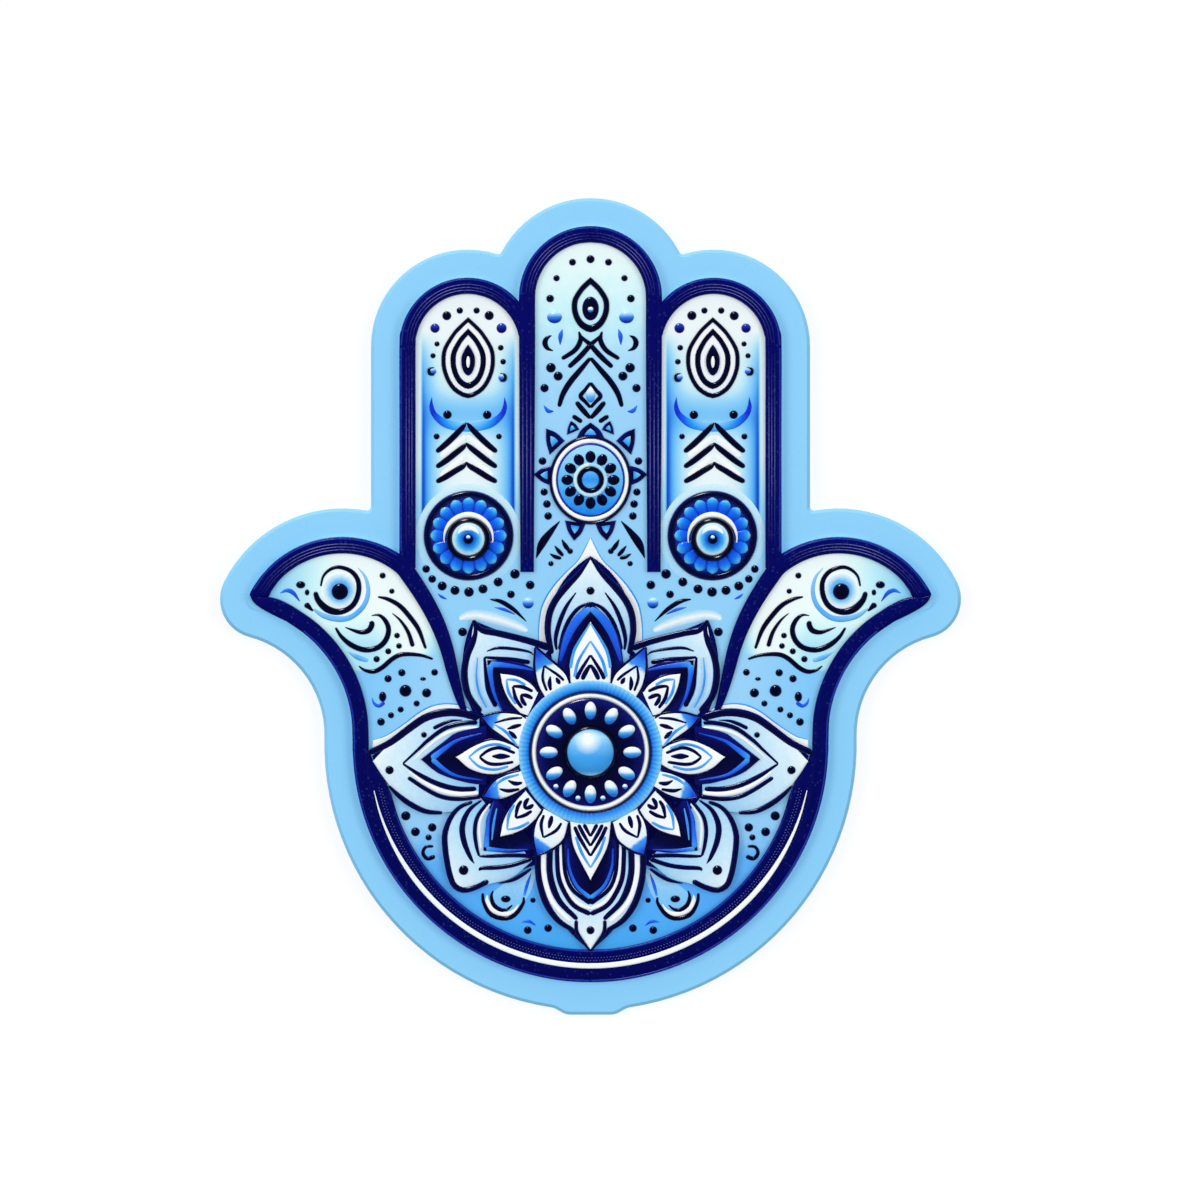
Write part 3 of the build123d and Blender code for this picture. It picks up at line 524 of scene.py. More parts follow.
# Lotus: each petal is a pale leaf with a navy outline, a navy heart with a blue flame, and a white inner petal
petals = {
    "top": {
        "nodes": ["top"],
        "leaf": [[(9.4, 22), (10.4, 28.7), (10.2, 34.8), (8.6, 38.1), (6, 41.3), (2.9, 44.4), (0, 48.6)]],
        "heart": [[(8.6, 20), (7.4, 27.5), (5.4, 31.8), (2.8, 35), (0, 37.4)]],
        "white": [[(5.2, 17.4), (5.3, 22.6), (4.3, 25.3), (2.4, 28.7), (0, 32.6)]],
    },
    "upper": {
        "nodes": ["upper_left", "upper_right"],
        "leaf": [[(10.2, 26), (13.6, 27.2), (17.4, 28.3), (23.2, 29.7), (27.4, 30.6), (29.1, 32.6)],
                 [(24, 8), (27.4, 10), (30.6, 14.6), (31.5, 20.3), (30.3, 25.6), (29.1, 32.6)]],
        "heart": [[(12.5, 20), (17, 22.2), (21, 22.8), (25.8, 23)], [(20, 8.6), (24, 13), (25.4, 17.5), (25.8, 23)]],
        "white": [[(13, 15), (14.4, 16.9), (16.8, 18.6), (19.5, 19.4), (22.5, 19.6)],
                  [(16, 8.4), (18, 10), (20.4, 12.7), (22, 16.4), (22.5, 19.6)]],
    },
    "side": {
        "nodes": ["left", "right"],
        "leaf": [[(27.8, 8.6), (32.7, 9.9), (37, 9.9), (41.2, 8.7), (45, 6.2), (50, 2.3), (54.4, -2.3)],
                 [(28, -14), (37, -15.1), (41.2, -14.7), (45, -12.9), (48.8, -9.9), (51.9, -6.1), (54.4, -2.3)]],
        "heart": [[(26, 6.6), (33.1, 5), (36.2, 3), (42.4, -1.8)],
                  [(26, -8.2), (31, -7.6), (37.7, -5.4), (42.4, -1.8)]],
        "white": [[(17.3, 0.6), (20, 2.2), (24.3, 3.3), (28.9, 1.8), (33.6, -1.2)],
                  [(17.3, -3), (20.4, -4.7), (25.1, -5.7), (30.1, -4.3), (33.6, -1.2)]],
    },
    "lower": {
        "nodes": ["lower_left", "lower_right"],
        "leaf": [[(27.4, -11.5), (32.7, -13.8), (35.4, -17), (36.4, -22), (35.8, -28), (33.6, -33.8)],
                 [(14.6, -27.2), (19.7, -31.4), (24, -32.6), (28, -33.7), (31.2, -34.4), (33.6, -33.8)]],
        "heart": [[(23.5, -11.5), (25.8, -16), (26.3, -20), (26.8, -24.6)],
                  [(13, -24), (18, -25), (21.5, -25.1), (26.8, -24.6)]],
        "white": [[(16.3, -9.5), (18.4, -11.6), (20.6, -14.4), (22, -17.6), (22.5, -21)],
                  [(12, -14.8), (13.6, -16.8), (16.2, -19.1), (19.3, -20.4), (22.5, -21)]],
    },
    "bottom": {
        "nodes": ["bottom"],
        "leaf": [[(12.7, -21.5), (13.1, -26), (13, -30.7), (12.1, -34.9), (10.6, -38.7), (7.9, -42.2), (3.7, -44.6),
                  (0, -49.4)]],
        "heart": [[(6.6, -21), (6.2, -28), (4.2, -33.6), (0, -37.4)]],
        "white": [[(5.3, -17.3), (4.6, -23), (2.5, -27.6), (0, -31.9)]],
    },
}
hearts, whites = [], []
for layers in petals.values():
    for node, one in zip(layers["nodes"], leaves(layers["leaf"], baseFace, leafFace - baseFace)):
        addPiece(f"leaf_{node}", [one], iceInk, [f"petal_{node}"])
    hearts += leaves(layers["heart"], leafFace, heartFace - leafFace)
    whites += leaves(layers["white"], heartFace, whiteFace - heartFace)
heartR = 20  # the disc that joins the hearts
addPiece("heartRosette", [*hearts, disc(origin, heartR, leafFace, heartFace - leafFace)], navyInk, ["heart_rosette"])
addPiece("whitePetals", whites, whiteInk, ["white_petals"])

tippedSides = [
    [[(5, 17), (6.3, 19.9), (9.8, 23), (13.8, 26.3)], [(11.5, 13.6), (13.2, 16.8), (14, 21), (13.8, 26.3)]],
    [[(15.5, 9), (19.4, 9.9), (23.2, 9.9), (27.3, 8.8)], [(17.8, 1), (22, 3.8), (25.1, 6.1), (27.3, 8.8)]],
    [[(17.4, -4.5), (20.9, -5.4), (24.3, -7.3), (26.9, -11.2)],
     [(15.6, -8.6), (19.4, -10.8), (23.2, -11.8), (26.9, -11.2)]],
    [[(11.8, -14), (13.8, -17.7), (14.3, -21.5), (13.4, -25.7)],
     [(5.4, -17.6), (6.7, -21.9), (10.2, -24.6), (13.4, -25.7)]],
]
tipped = [one for sides in tippedSides for one in leaves(sides, heartFace, whiteFace - heartFace)]
addPiece("tippedPetals", tipped, tippedInk, ["tipped_petals"])

trim("heartFlames", royalInk, ["heart_flames"], base=heartFace - 0.1, rise=0.4, spread=1.4, lines=[
    brush([1, 1.7, 1.3, 0.5], (0, 36), (2.5, 33.9), (4.9, 30.6), (6.5, 26.6), (7.6, 22.6)),
    brush([1.2, 0.2], (25.1, 22), (21.3, 21.7), (17.1, 21.1), (12.6, 20)),
    brush([1.2, 0.2], (25, 21.9), (24.9, 18.8), (23.9, 14.2), (21.6, 9.4)),
    brush([1.2, 0.2], (39.7, -1.6), (36.4, 0.9), (33.1, 3), (27, 4.8)),
    brush([1, 0.2], (39.6, -1.7), (36.2, -4.5), (33, -6), (27, -7)),
    brush([1.1, 0.2], (26, -23.9), (25.8, -20), (25.3, -16), (24, -12)),
    brush([0.9, 0.2], (26, -24.1), (21.3, -24.5), (15.5, -24.3)),
    brush([0.8, 0.3], (0, -36.4), (3.4, -33.4), (5.3, -28.8), (5.6, -24)),
])

trim("petalOutlines", navyInk, base=leafFace - 0.12, rise=0.55, steps=34, spread=1.1, lines=[
    brush([0.6, 1.6, 1.6, 1.5, 1.3], (0, 48.7), (2.9, 44.6), (6, 41.4), (8.6, 38.2), (10.2, 34.8), (10.7, 31),
          (10.4, 28), (9.7, 24.5)),
    brush([0.3, 1.1, 1.1, 0.5], (3.6, 39.9), (6, 36.4), (7.7, 32.5), (8.7, 28.5), (8.5, 25.5)),
    brush([0.6, 1, 1, 1], (0, 37.4), (2.9, 36), (5.2, 33.3), (6.7, 29.9), (7.7, 25.5)),
    brush([0.5, 1.6, 1.5, 1.6, 1.7], (29.2, 33), (27.2, 30.5), (23.2, 29.7), (17.4, 28.3), (13.6, 27.2), (10.2, 26)),
    brush([0.5, 1.4, 1.6, 1.6, 1.4], (29.2, 33), (28.7, 30.2), (29.4, 27.4), (30.8, 24.1), (31.5, 20.3), (31.2, 16.5),
          (30.1, 13.4), (27.4, 10)),
    brush([0.3, 0.9, 0.7, 0.2], (25.9, 25.2), (23.2, 26), (19.4, 25.8), (15.5, 25.1), (14.2, 24.2)),
    brush([0.6, 1.1, 1.1], (26.5, 23.7), (23.2, 23.4), (19.4, 23.1), (15.1, 22.4)),
    brush([0.6, 1.1, 1.1], (26.5, 23.7), (26.1, 19.1), (25.5, 15.3), (23.6, 11.3)),
    brush([1.4, 1.7, 1.9, 1.7], (55.3, -0.2), (50, 2.4), (45, 6.1), (41.2, 8.6), (37, 9.8), (32.7, 9.8), (27.8, 8.6)),
    brush([0.9, 0.9, 0.2], (39.3, 5.9), (36.8, 7.1), (34.7, 7.8), (32, 8)),
    brush([0.5, 1.1, 1.1], (46.9, -2.9), (43.1, 0.6), (40.4, 3.1), (36.2, 6), (31.6, 7.2), (28.2, 7.4)),
    brush([0.5, 1.3, 1.3, 1.2], (46.9, -2.9), (42.3, -5.9), (37.7, -8.1), (33.1, -9.2), (28.5, -9.2)),
    brush([1, 1.1, 1.1], (45.6, -6.3), (41.2, -9.2), (37.3, -11.1), (33.1, -11.7), (27.4, -11.1)),
    brush([0.5, 1.3, 1.3, 0.8], (50.4, -8.4), (48, -10.8), (45, -13), (41.2, -14.8), (37, -15.2)),
    brush([0.8, 1.4, 1.4, 1.2], (29.5, -12.4), (32.7, -13.8), (35, -16.5), (36.3, -20), (36.4, -23), (35.8, -27.6),
          (35, -31.1), (33.9, -33.4), (31.6, -34.5), (28.5, -33.7), (25.5, -32.2)),
    brush([0.4, 1.2, 1.5, 1.2, 0.2], (27.2, -12), (30.4, -14.6), (32, -18.4), (31.6, -22.3), (30.1, -26.1),
          (29, -27.9)),
    brush([0.8, 1, 1, 0.6], (25.9, -12.9), (28.2, -16.1), (28.9, -19.6), (28.5, -23.4), (27.8, -26)),
    brush([0.6, 1, 1], (27.8, -26), (25.1, -26), (20.1, -25.8), (15.1, -25.9)),
    brush([0.5, 1.1, 1.1, 1], (27.9, -29.6), (27, -29), (23.2, -28.8), (19.4, -28.2), (14.8, -26.7)),
    brush([0.3, 0.9, 0.9, 0.6], (23, -32.8), (19.7, -32), (17.1, -30.7), (14.8, -29.1)),
    brush([1.4, 1.6, 1.5, 1], (13.2, -24.5), (13, -30.7), (12.1, -34.9), (10.6, -38.7), (7.9, -42.2), (4.2, -44.6)),
    brush([1.4, 1.6, 0.9], (10, -22.5), (10.2, -26.1), (10.2, -29.9), (9.4, -33.7), (7.5, -37.6), (4, -41.1),
          (3.4, -41.9)),
    brush([1.1, 1.2, 1.2], (8.2, -21.5), (8.3, -26.1), (7.9, -31.4), (6.3, -35.3), (4, -38.4), (0, -40.5)),
    brush([0.9, 1, 1], (6.8, -21), (6.7, -26.1), (6.2, -30.7), (4.4, -34.5), (0, -37.9)),
    brush([0.9, 0.9, 0.5], (3.6, -42), (3.4, -44.8), (2.1, -47.1), (0, -49.7)),
])

trim("petalWhites", whiteInk, base=leafFace - 0.1, rise=0.3, lines=[
    brush([1.2, 1.5, 1], (11.5, -23), (11.7, -27), (11.6, -30.5), (10.7, -34.6), (9, -38.3), (5, -42.4)),
    brush([1, 1, 1], (7.5, -21.5), (7.4, -26.5), (7, -31), (5.4, -35), (3.2, -37.8), (0, -39.2)),
    brush([0.8, 1.3, 1.2], (45.4, -4.9), (41.7, -7.6), (37.5, -9.6), (33.1, -10.5), (28, -10.2)),
    brush([0.4, 0.9, 0.9], (44.4, -2.2), (41, 1), (36.6, 4.3), (32, 5.8), (28, 6)),
    brush([0.5, 0.9, 0.6], (25, -12.9), (27.2, -16.2), (27.8, -19.6), (27.3, -24.2)),
])

petalAzures = [
    brush([0.3, 0.6, 0.4], (28.2, 23.7), (28.5, 18.8), (27.8, 14.9), (25.9, 11.1)),
    brush([0.3, 0.7, 0.3], (24.6, -22), (24.2, -18), (23.4, -14)),
]
whiteLines = {
    "azure": [
        brush([0.3, 0.6, 0.6], (0, 32.2), (2.4, 28.4), (4.2, 25), (5, 21)),
        brush([0.4, 0.6, 0.6], (0, 27.8), (2.9, 23), (4, 18.8)),
        brush([0.4, 0.6, 0.5], (30.4, -1.2), (27.3, 1.1), (23.5, 2), (19.8, 1)),
        brush([0.4, 0.6, 0.5], (30.4, -1.2), (27.6, -3.6), (24, -4.3), (20.5, -3.5)),
        brush([0.4, 0.6, 0.5], (20.8, -19.3), (20.4, -15.8), (19, -13)),
        brush([0.4, 0.6, 0.5], (20.8, -19.3), (17.8, -18.7), (15.3, -17.4)),
        brush([0.4, 0.6, 0.5], (0, -28.8), (2.2, -25), (3.7, -21)),
        brush([0.4, 0.6, 0.5], (21, 18.2), (18.6, 18), (16.2, 16.8)),
        brush([0.4, 0.6, 0.5], (21, 18.2), (20.4, 15), (18.6, 12)),
        brush([0.3, 0.6, 0.4], (24, 7), (21, 5), (18.3, 1.6)),
        brush([0.3, 0.6, 0.4], (24.2, -8.6), (21.5, -6.6), (17.8, -5.5)),
    ],
    "navy": [
        brush([0.5, 0.8, 0.8], (0, 24.3), (2.5, 20.3), (3.5, 18.2)),
        brush([0.6, 1, 0.9], (0, 21.9), (1.2, 20), (2.1, 18.1)),
        brush([0.5, 0.8, 0.6], (19.4, 16.5), (17, 16.3), (14.4, 15.2)),
        brush([0.5, 0.8, 0.6], (19.4, 16.5), (18.6, 13.4), (17, 11)),
        brush([0.5, 0.9, 0.6], (17.4, 14.4), (15.8, 14.1), (14.4, 13.4)),
        brush([0.5, 0.9, 0.6], (17.4, 14.4), (16.9, 12.8), (16, 11.6)),
        brush([0.5, 0.8, 0.6], (27.7, -1.2), (25.4, 0.5), (22.6, 1.1), (18.8, -0.2)),
        brush([0.5, 0.8, 0.6], (27.7, -1.2), (25.8, -2.6), (23.4, -3), (19.2, -2.4)),
        brush([0.4, 1.2, 0.4], (24.6, -1), (22.4, -1), (20, -1)),
        brush([0.5, 0.8, 0.6], (18.7, -16.4), (18.2, -13.8), (17.2, -12)),
        brush([0.5, 0.8, 0.6], (18.7, -16.4), (16.4, -15.7), (14.6, -14.6)),
        brush([0.5, 0.9, 0.6], (16.5, -14.1), (16.2, -12.6), (15.4, -11.4)),
        brush([0.5, 0.9, 0.6], (16.5, -14.1), (15.2, -13.7), (14.2, -13)),
        brush([0.5, 0.8, 0.7], (0, -25.9), (2.6, -21.5), (4, -18.5)),
        brush([0.5, 0.8, 0.7], (0, -23.4), (1.9, -20.2), (3, -18)),
        brush([0.5, 0.8, 0.7], (0, -21), (1.3, -18.6), (1.6, -17.9)),
        brush([0.4, 0.6, 0.5], (11.6, 21.6), (8.3, 19.4), (6.6, 17.9)),
        brush([0.4, 0.6, 0.5], (11.6, 21.6), (11.9, 18.4), (10.9, 15.3)),
        brush([0.3, 0.9, 0.5], (10, 19), (10.2, 17.2), (9.9, 15.4)),
        brush([0.3, 0.9, 0.5], (8.6, 18.7), (8.1, 17.8), (7.6, 17)),
        brush([0.3, 0.6, 0.4], (24, 7.3), (20.5, 8.3), (17, 8.6)),
        brush([0.3, 0.9, 0.5], (20.8, 5.8), (19, 6.4), (17.2, 6.9)),
        brush([0.3, 0.9, 0.5], (20.4, 5.4), (19.4, 4.4), (18.4, 3.4)),
        brush([0.3, 0.8, 0.5], (22.8, -9.1), (20.6, -9.6), (17.7, -9.2)),
        brush([0.3, 0.9, 0.5], (20.6, -7), (18.8, -7.8), (17, -7.6)),
        brush([0.4, 0.7, 0.5], (11.8, -21.3), (12.3, -18), (11.6, -15.6)),
        brush([0.4, 0.7, 0.5], (11.8, -21.3), (8.7, -19.6), (7.2, -17.6)),
        brush([0.4, 1, 0.6], (10.4, -19), (10, -17.4), (9.6, -15.8)),
    ],
}
petalEdges = [brush([0.6, 0.7, 0.6], *side) for sides in tippedSides for side in sides]
petalEdges += [brush([0.5, 0.6, 0.3], *side) for layers in petals.values() for side in layers["white"]]
trim("petalEdges", navyInk, base=whiteFace - 0.3, rise=0.36, lines=petalEdges)
trim("petalAzures", azureInk, base=heartFace - 0.15, rise=0.3, lines=petalAzures)
trim("innerAzures", azureInk, base=whiteFace - 0.08, rise=0.22, spread=1.3, lines=whiteLines["azure"])
trim("innerNavies", navyInk, base=whiteFace - 0.08, rise=0.28, spread=1.3, lines=whiteLines["navy"])

# White halos on the field behind the upper petals, with a thin blue rim
haloSides = {
    "top": [[(12.6, 24), (13, 29.5), (12.65, 34.1), (11.7, 37.5), (9.4, 41.3), (6.3, 44.8), (2.9, 48.2), (0, 53.6)]],
    "side": [[(27.5, 7), (30.5, 10.9), (34.5, 12), (38.5, 11.8), (42.3, 10.2), (46.9, 6.8), (51.1, 4.1), (54.4, 3)],
             [(27.5, 6), (30.5, 6), (34.5, 6), (38.5, 5), (42.3, 4), (46.9, 2), (51.1, 0), (54.4, 1)]],
}
halos = [one for sides in haloSides.values() for one in leaves(sides, fieldBase, 0.3)]
addPiece("petalHalos", halos, whiteInk)
# brushed halo: white core that thins to the blue of the field
haloInk = enamel("brushedEnamelHalo", "field_acrylic", [(0.02, "#92D3FB"), (0.5, "#F4FCFE"), (0.98, "#92D3FB")],
                 "across", 0.06)
trim("upperHalos", haloInk, base=fieldBase, rise=0.14, steps=40, profile=softTop, lines=[
    brush([0.6, 2.8, 3.4, 3, 1.4, 0.4], (13.4, 28.8), (16.4, 30.6), (20.6, 32.3), (25.1, 33.6), (29.3, 34.2),
          (32.4, 33.4), (33.6, 31), (33.9, 28)),
])
haloRims = [brush([0.3, 0.45, 0.3], *sides[0]) for sides in haloSides.values()]
trim("haloRims", azureInk, base=fieldFace - 0.05, rise=0.3, steps=40, lines=haloRims)
print("lotus built")

# Hub: ribbed collar, white ring between dark lines, dish with beads, bezel and domed stone
hub = {"collarR": 18.0, "collarInR": 15.2, "ribs": 96, "ribDepth": 0.18, "ringR": 14.75, "ringInR": 13.45,
       "darkR": 15.3, "dishR": 13.4, "beadRing": 10.4, "beads": 12, "beadHalf": 1.45, "beadLong": 2.25,
       "drops": [(8.6, -8.5), (3.1, -11.4)], "dropR": 0.65, "bezelR": 6.6, "stoneR": 5.8}
collarFace, ringFace, dishFace, bezelFace, stoneFace = (
    frontOf(f"hub_{name}") for name in ("collar", "ring", "dish", "bezel", "stone"))
ribTurns = hub["ribs"] * 4
ribWave = 0.5 + 0.5 * np.cos(np.linspace(0, 2 * pi * hub["ribs"], ribTurns, endpoint=False))
ribRise = (collarFace - heartFace) * (1 - hub["ribDepth"] * ribWave)
collarEdges = [roundOutline(hub[key], ribTurns)[None] for key in ("collarR", "collarInR")]
# ribbed azure enamel, pale on the outer slope
collarInk = enamel("ribbedEnamelAzure", "royal_acrylic",
                   [(0, "#8FD2FC"), (0.35, "#55B4FB"), (0.7, "#2B90F2"), (1, "#1664D4")], "across", 0.1)
addPiece("hubCollar", [loft(collarEdges, softTop, heartFace, ribRise[None], True)], collarInk, ["hub_collar"])
addPiece("hubDarkRing", [roundRing(origin, hub["darkR"], hub["ringR"] - 0.2, heartFace, ringFace - heartFace - 0.1,
                                   turns=120)], navyInk)
addPiece("hubRing", [roundRing(origin, hub["ringR"], hub["ringInR"], collarFace - 1, ringFace - collarFace + 1,
                               turns=120)], whiteInk, ["hub_ring"])
addPiece("hubDish", [disc(origin, hub["dishR"], collarFace - 1, dishFace - collarFace + 0.6)], navyInk, ["hub_dish"])
beads = around(origin, hub["beadRing"], hub["beads"], hub["beadHalf"], hub["beadLong"])
dishDrops = [(way * out, up, hub["dropR"]) for out, up in hub["drops"] for way in (-1, 1)]
# the beads carry painted light: a white painted highlight on top, azure painted shade below
addPiece("hubBeads", [mounds(beads, dishFace - 0.2, 1.0, 24), mounds(dishDrops, dishFace - 0.2, 0.6)], dropGlassPaintedLight,
         ["hub_beads"])
addPiece("hubBezel", [roundRing(origin, hub["bezelR"], hub["stoneR"] - 0.1, dishFace - 0.3,
                                bezelFace - dishFace + 0.5, turns=90)], dotInk, ["hub_bezel"])
# cast resin stone with painted light: azure, painted lighter and darker up and down the dome, and a painted highlight,
# a pale soft spot above its middle
stoneHighlight = {"out": -0.6, "up": 3, "deep": 0.5, "edge": 3.6, "heart": 0.7, "share": 0.95, "colour": "#F4FCFF"}
stoneResinPaintedLight = enamel("castResinStonePaintedLight", "stone_resin",
                    [(0, "#A8E0FB"), (0.1, "#3FA4F4"), (0.4, "#43A8F6"), (0.65, "#6CC0FB"), (0.85, "#A4DCFD"),
                     (1, "#62B8F8")],
                    "along", 0.03, 0.8, (0.06, 0.12), 0.0, 0.6)
stoneTree, stoneColour, bodyColour, stonePlace = reopen(stoneResinPaintedLight)
# where the painted highlight sits on the stone; it fades from its heart out to its edge
stoneHighlightAt = (stoneHighlight["out"] * mm, (stoneHighlight["deep"] - stoneFace) * mm, stoneHighlight["up"] * mm)
fromStoneHighlight = addNode(stoneTree, "ShaderNodeVectorMath", {"operation": "DISTANCE", 1: stoneHighlightAt}, {0: stonePlace})
stoneHighlightShare = addNode(stoneTree, "ShaderNodeMapRange",
                     {"From Min": stoneHighlight["edge"] * mm, "From Max": stoneHighlight["heart"] * mm, "To Max": stoneHighlight["share"]},
                     {"Value": fromStoneHighlight.outputs["Value"]})
stoneTree.links.new(overlay(stoneTree, stoneHighlightShare.outputs["Result"], bodyColour, stoneHighlight["colour"]), stoneColour)
# dome on a short upright wall
stoneWall = 0.12
stoneTop = np.array([(1, 0), (1, stoneWall), *[(np.cos(a), stoneWall + (1 - stoneWall) * np.sin(a))
                                               for a in np.linspace(0.15, 0.48 * pi, 12)]])
addPiece("hubStone", [disc(origin, hub["stoneR"], bezelFace - 0.5, stoneFace - bezelFace + 0.5, stoneTop)], stoneResinPaintedLight,
         ["hub_stone"])
print("hub built")

# Eye medallions of the side fingers
eye = {"at": (30.5, 54.1), "rimR": 11.3, "rimInR": 9.4, "scallops": 16, "lobeReach": (5, 6.6, 8.2, 9.5),
       "lobeWide": [1.8, 2.6, 3.2, 2.8], "whiteMid": 6.1, "whiteWide": [0.2, 1.1, 1.5, 1.1, 0.2], "whiteTurn": 104,
       "irisUp": 53.2, "irisRingR": 5.6, "irisR": 4.1, "gleamMid": 2.9, "gleamWide": [0.2, 1.2, 1.6, 1.2, 0.2],
       "gleamTurn": 75, "pupilR": 1.25, "glintR": 0.55, "glintUp": 0.4, "mistR": 13.2}
# scalloped enamel: royal blue at the root of a lobe, azure towards its tip
lobeInk = enamel("scallopedEnamelRoyal", "royal_acrylic",
                 [(0, "#0A3CD0"), (0.4, "#0C52E2"), (0.55, "#1470F0"), (0.68, "#2E9CF6"), (0.8, "#5CC4FA"),
                  (1, "#A4E2FC")],
                 "along", 0.08, 0.8, (0.1, 0.2))
# blown iris: royal round the pupil, pale at the ring
eyeInk = enamel("shadedEnamelEye", "ice_acrylic",
                [(0, "#0636A0"), (0.3, "#0A50C8"), (0.45, "#1478E2"), (0.65, "#3FB0F4"), (0.85, "#A8E2FB"),
                 (1, "#E4F8FE")],
                "across", 0.06)
eyeInks = {"Mist": mistInk, "Ground": edgeInk, "Rim": navyInk, "Scallop": lobeInk, "White": whiteInk, "Ring": dotInk,
           "Iris": eyeInk, "Gleam": whiteInk, "Pupil": dotInk, "Glint": dropGlassPaintedLight}


def eyeParts(way):
    # the parts of the left or right eye; its iris hangs a little below the middle
    middle = (way * eye["at"][0], eye["at"][1])
    iris = (way * eye["at"][0], eye["irisUp"])
    lobes = spokes(middle, eye["lobeReach"], eye["lobeWide"], eye["scallops"])
    white = brush(eye["whiteWide"], *arcPoints(iris, eye["whiteMid"], -eye["whiteTurn"], eye["whiteTurn"], 13))
    gleam = brush(eye["gleamWide"], *arcPoints(iris, eye["gleamMid"], -eye["gleamTurn"], eye["gleamTurn"], 9))
    return {
        "Mist": disc(middle, eye["mistR"], fieldBase, 0.2),
        "Ground": disc(middle, eye["rimInR"] + 0.2, fieldFace, 0.7),
        "Rim": roundRing(middle, eye["rimR"], eye["rimInR"], fieldFace, 1.3, turns=90),
        "Scallop": strokes(lobes, fieldFace + 0.5, 0.8, 16),
        "White": strokes([white], fieldFace + 0.6, 1.2, 60, softTop),
        "Ring": roundRing(iris, eye["irisRingR"], eye["irisR"] - 0.2, fieldFace + 0.6, 2.1),
        "Iris": disc(iris, eye["irisR"], fieldFace + 0.6, 2),
        "Gleam": strokes([gleam], fieldFace + 2.5, 0.2),
        "Pupil": mounds([(*iris, eye["pupilR"])], fieldFace + 2.5, 0.9, 32),
        "Glint": mounds([(iris[0], iris[1] + eye["glintUp"], eye["glintR"])], fieldFace + 3.2, 0.3),
    }


eyes = [eyeParts(way) for way in (-1, 1)]
for key, finish in eyeInks.items():
    extra = key in ("Mist", "Ground", "Gleam", "Glint")
    addPiece(f"eye{key}", [parts[key] for parts in eyes], finish, () if extra else pair(f"eye_{key.lower()}"))

# Star medallion of the middle finger
star = {"at": (0, 68), "slim": 0.93, "rimR": 11.2, "rimInR": 10.2, "whiteInR": 9.2, "lineR": 9.3, "lineInR": 8.5,
        "studs": 12, "studReach": (4.2, 5.7, 7.3), "studWide": [2.1, 2.7, 2.3], "paleR": 4.3, "bossRingR": 3.45,
        "bossR": 2.15}
starAt = star["at"]
discFace = frontOf("star_disc")
starLines = {key: roundOutline(star[key], 90) * [star["slim"], 1]
             for key in ("rimR", "rimInR", "whiteInR", "lineR", "lineInR")}
# disc with painted shading: azure below, sky blue above, as if lit from above; on the leaf hearts it runs from root to
# tip
starInk = enamel("shadedEnamelStar", "ice_acrylic",
                 [(0.05, "#1488F0"), (0.3, "#3FA6F6"), (0.6, "#6CC2FA"), (0.9, "#9CDAFC")])
addPiece("starRim", [ring(starAt, starLines["rimR"], starLines["rimInR"], fieldFace, 1.2)], navyInk, ["star_rim"])
addPiece("starWhite", [ring(starAt, starLines["rimInR"] * 1.01, starLines["whiteInR"], fieldFace, 1.1, softTop)],
         whiteInk, ["star_white"])
addPiece("starDisc", [crown([starAt], starLines["whiteInR"][None], discTop, fieldFace, discFace - fieldFace - 0.6)],
         starInk, ["star_disc"])
addPiece("starLine", [ring(starAt, starLines["lineR"], starLines["lineInR"], fieldFace + 0.6, 0.6)], edgeInk)
studs = spokes(starAt, star["studReach"], star["studWide"], star["studs"])
addPiece("starStuds", [strokes(studs, fieldFace + 1, 0.8, 16)], dotInk, ["star_studs"])
addPiece("starPaleRing", [roundRing(starAt, star["paleR"], star["bossRingR"] - 0.1, fieldFace + 1, 0.8, softTop, 48)],
         mistInk)
addPiece("starBossRing", [roundRing(starAt, star["bossRingR"], star["bossR"] - 0.1, fieldFace + 1, 1.1, turns=48)],
         dotInk)
addPiece("starBoss", [disc(starAt, star["bossR"], fieldFace + 1, 0.7, turns=32)], azureInk, ["star_boss"])

# Pointed leaves round the star: tip, then the two ends of the root; each carries a pale heart
starLeaves = [
    [(0, 82.4), (3.5, 78.5), (-3.5, 78.5)],
    [(4.9, 82.8), (5.9, 79.3), (2.8, 80.6)],
    [(11.1, 80.9), (6.4, 77.8), (10.2, 74.3)],
    [(14.2, 69.4), (9.9, 71.6), (9.9, 66.6)],
    [(4.1, 52.8), (6.4, 57.9), (1.2, 57.1)],
]


def starLeaf(points, shrink, base, rise):
    # three-cornered leaf with slightly swollen sides, drawn in towards its middle
    points = np.array(points, float)
    heart = points.mean(axis=0)
    tip, rootA, rootB = heart + (points - heart) * shrink
    sides = [[root, (root + tip) / 2 + ((root + tip) / 2 - heart) * 0.3, tip] for root in (rootA, rootB)]
    return leaf(*sides, base, rise, softTop, 12)


mirroredLeaves = [[(way * out, up) for out, up in points]
                  for points in starLeaves for way in ((1,) if points[0][0] == 0 else (-1, 1))]
addPiece("starLeaves", [starLeaf(points, 1, fieldBase, 0.7) for points in mirroredLeaves], navyInk, ["star_leaves"])
addPiece("starLeafHearts", [starLeaf(points, 0.42, fieldFace + 0.4, 0.4) for points in mirroredLeaves], starInk)
print("medallions built")

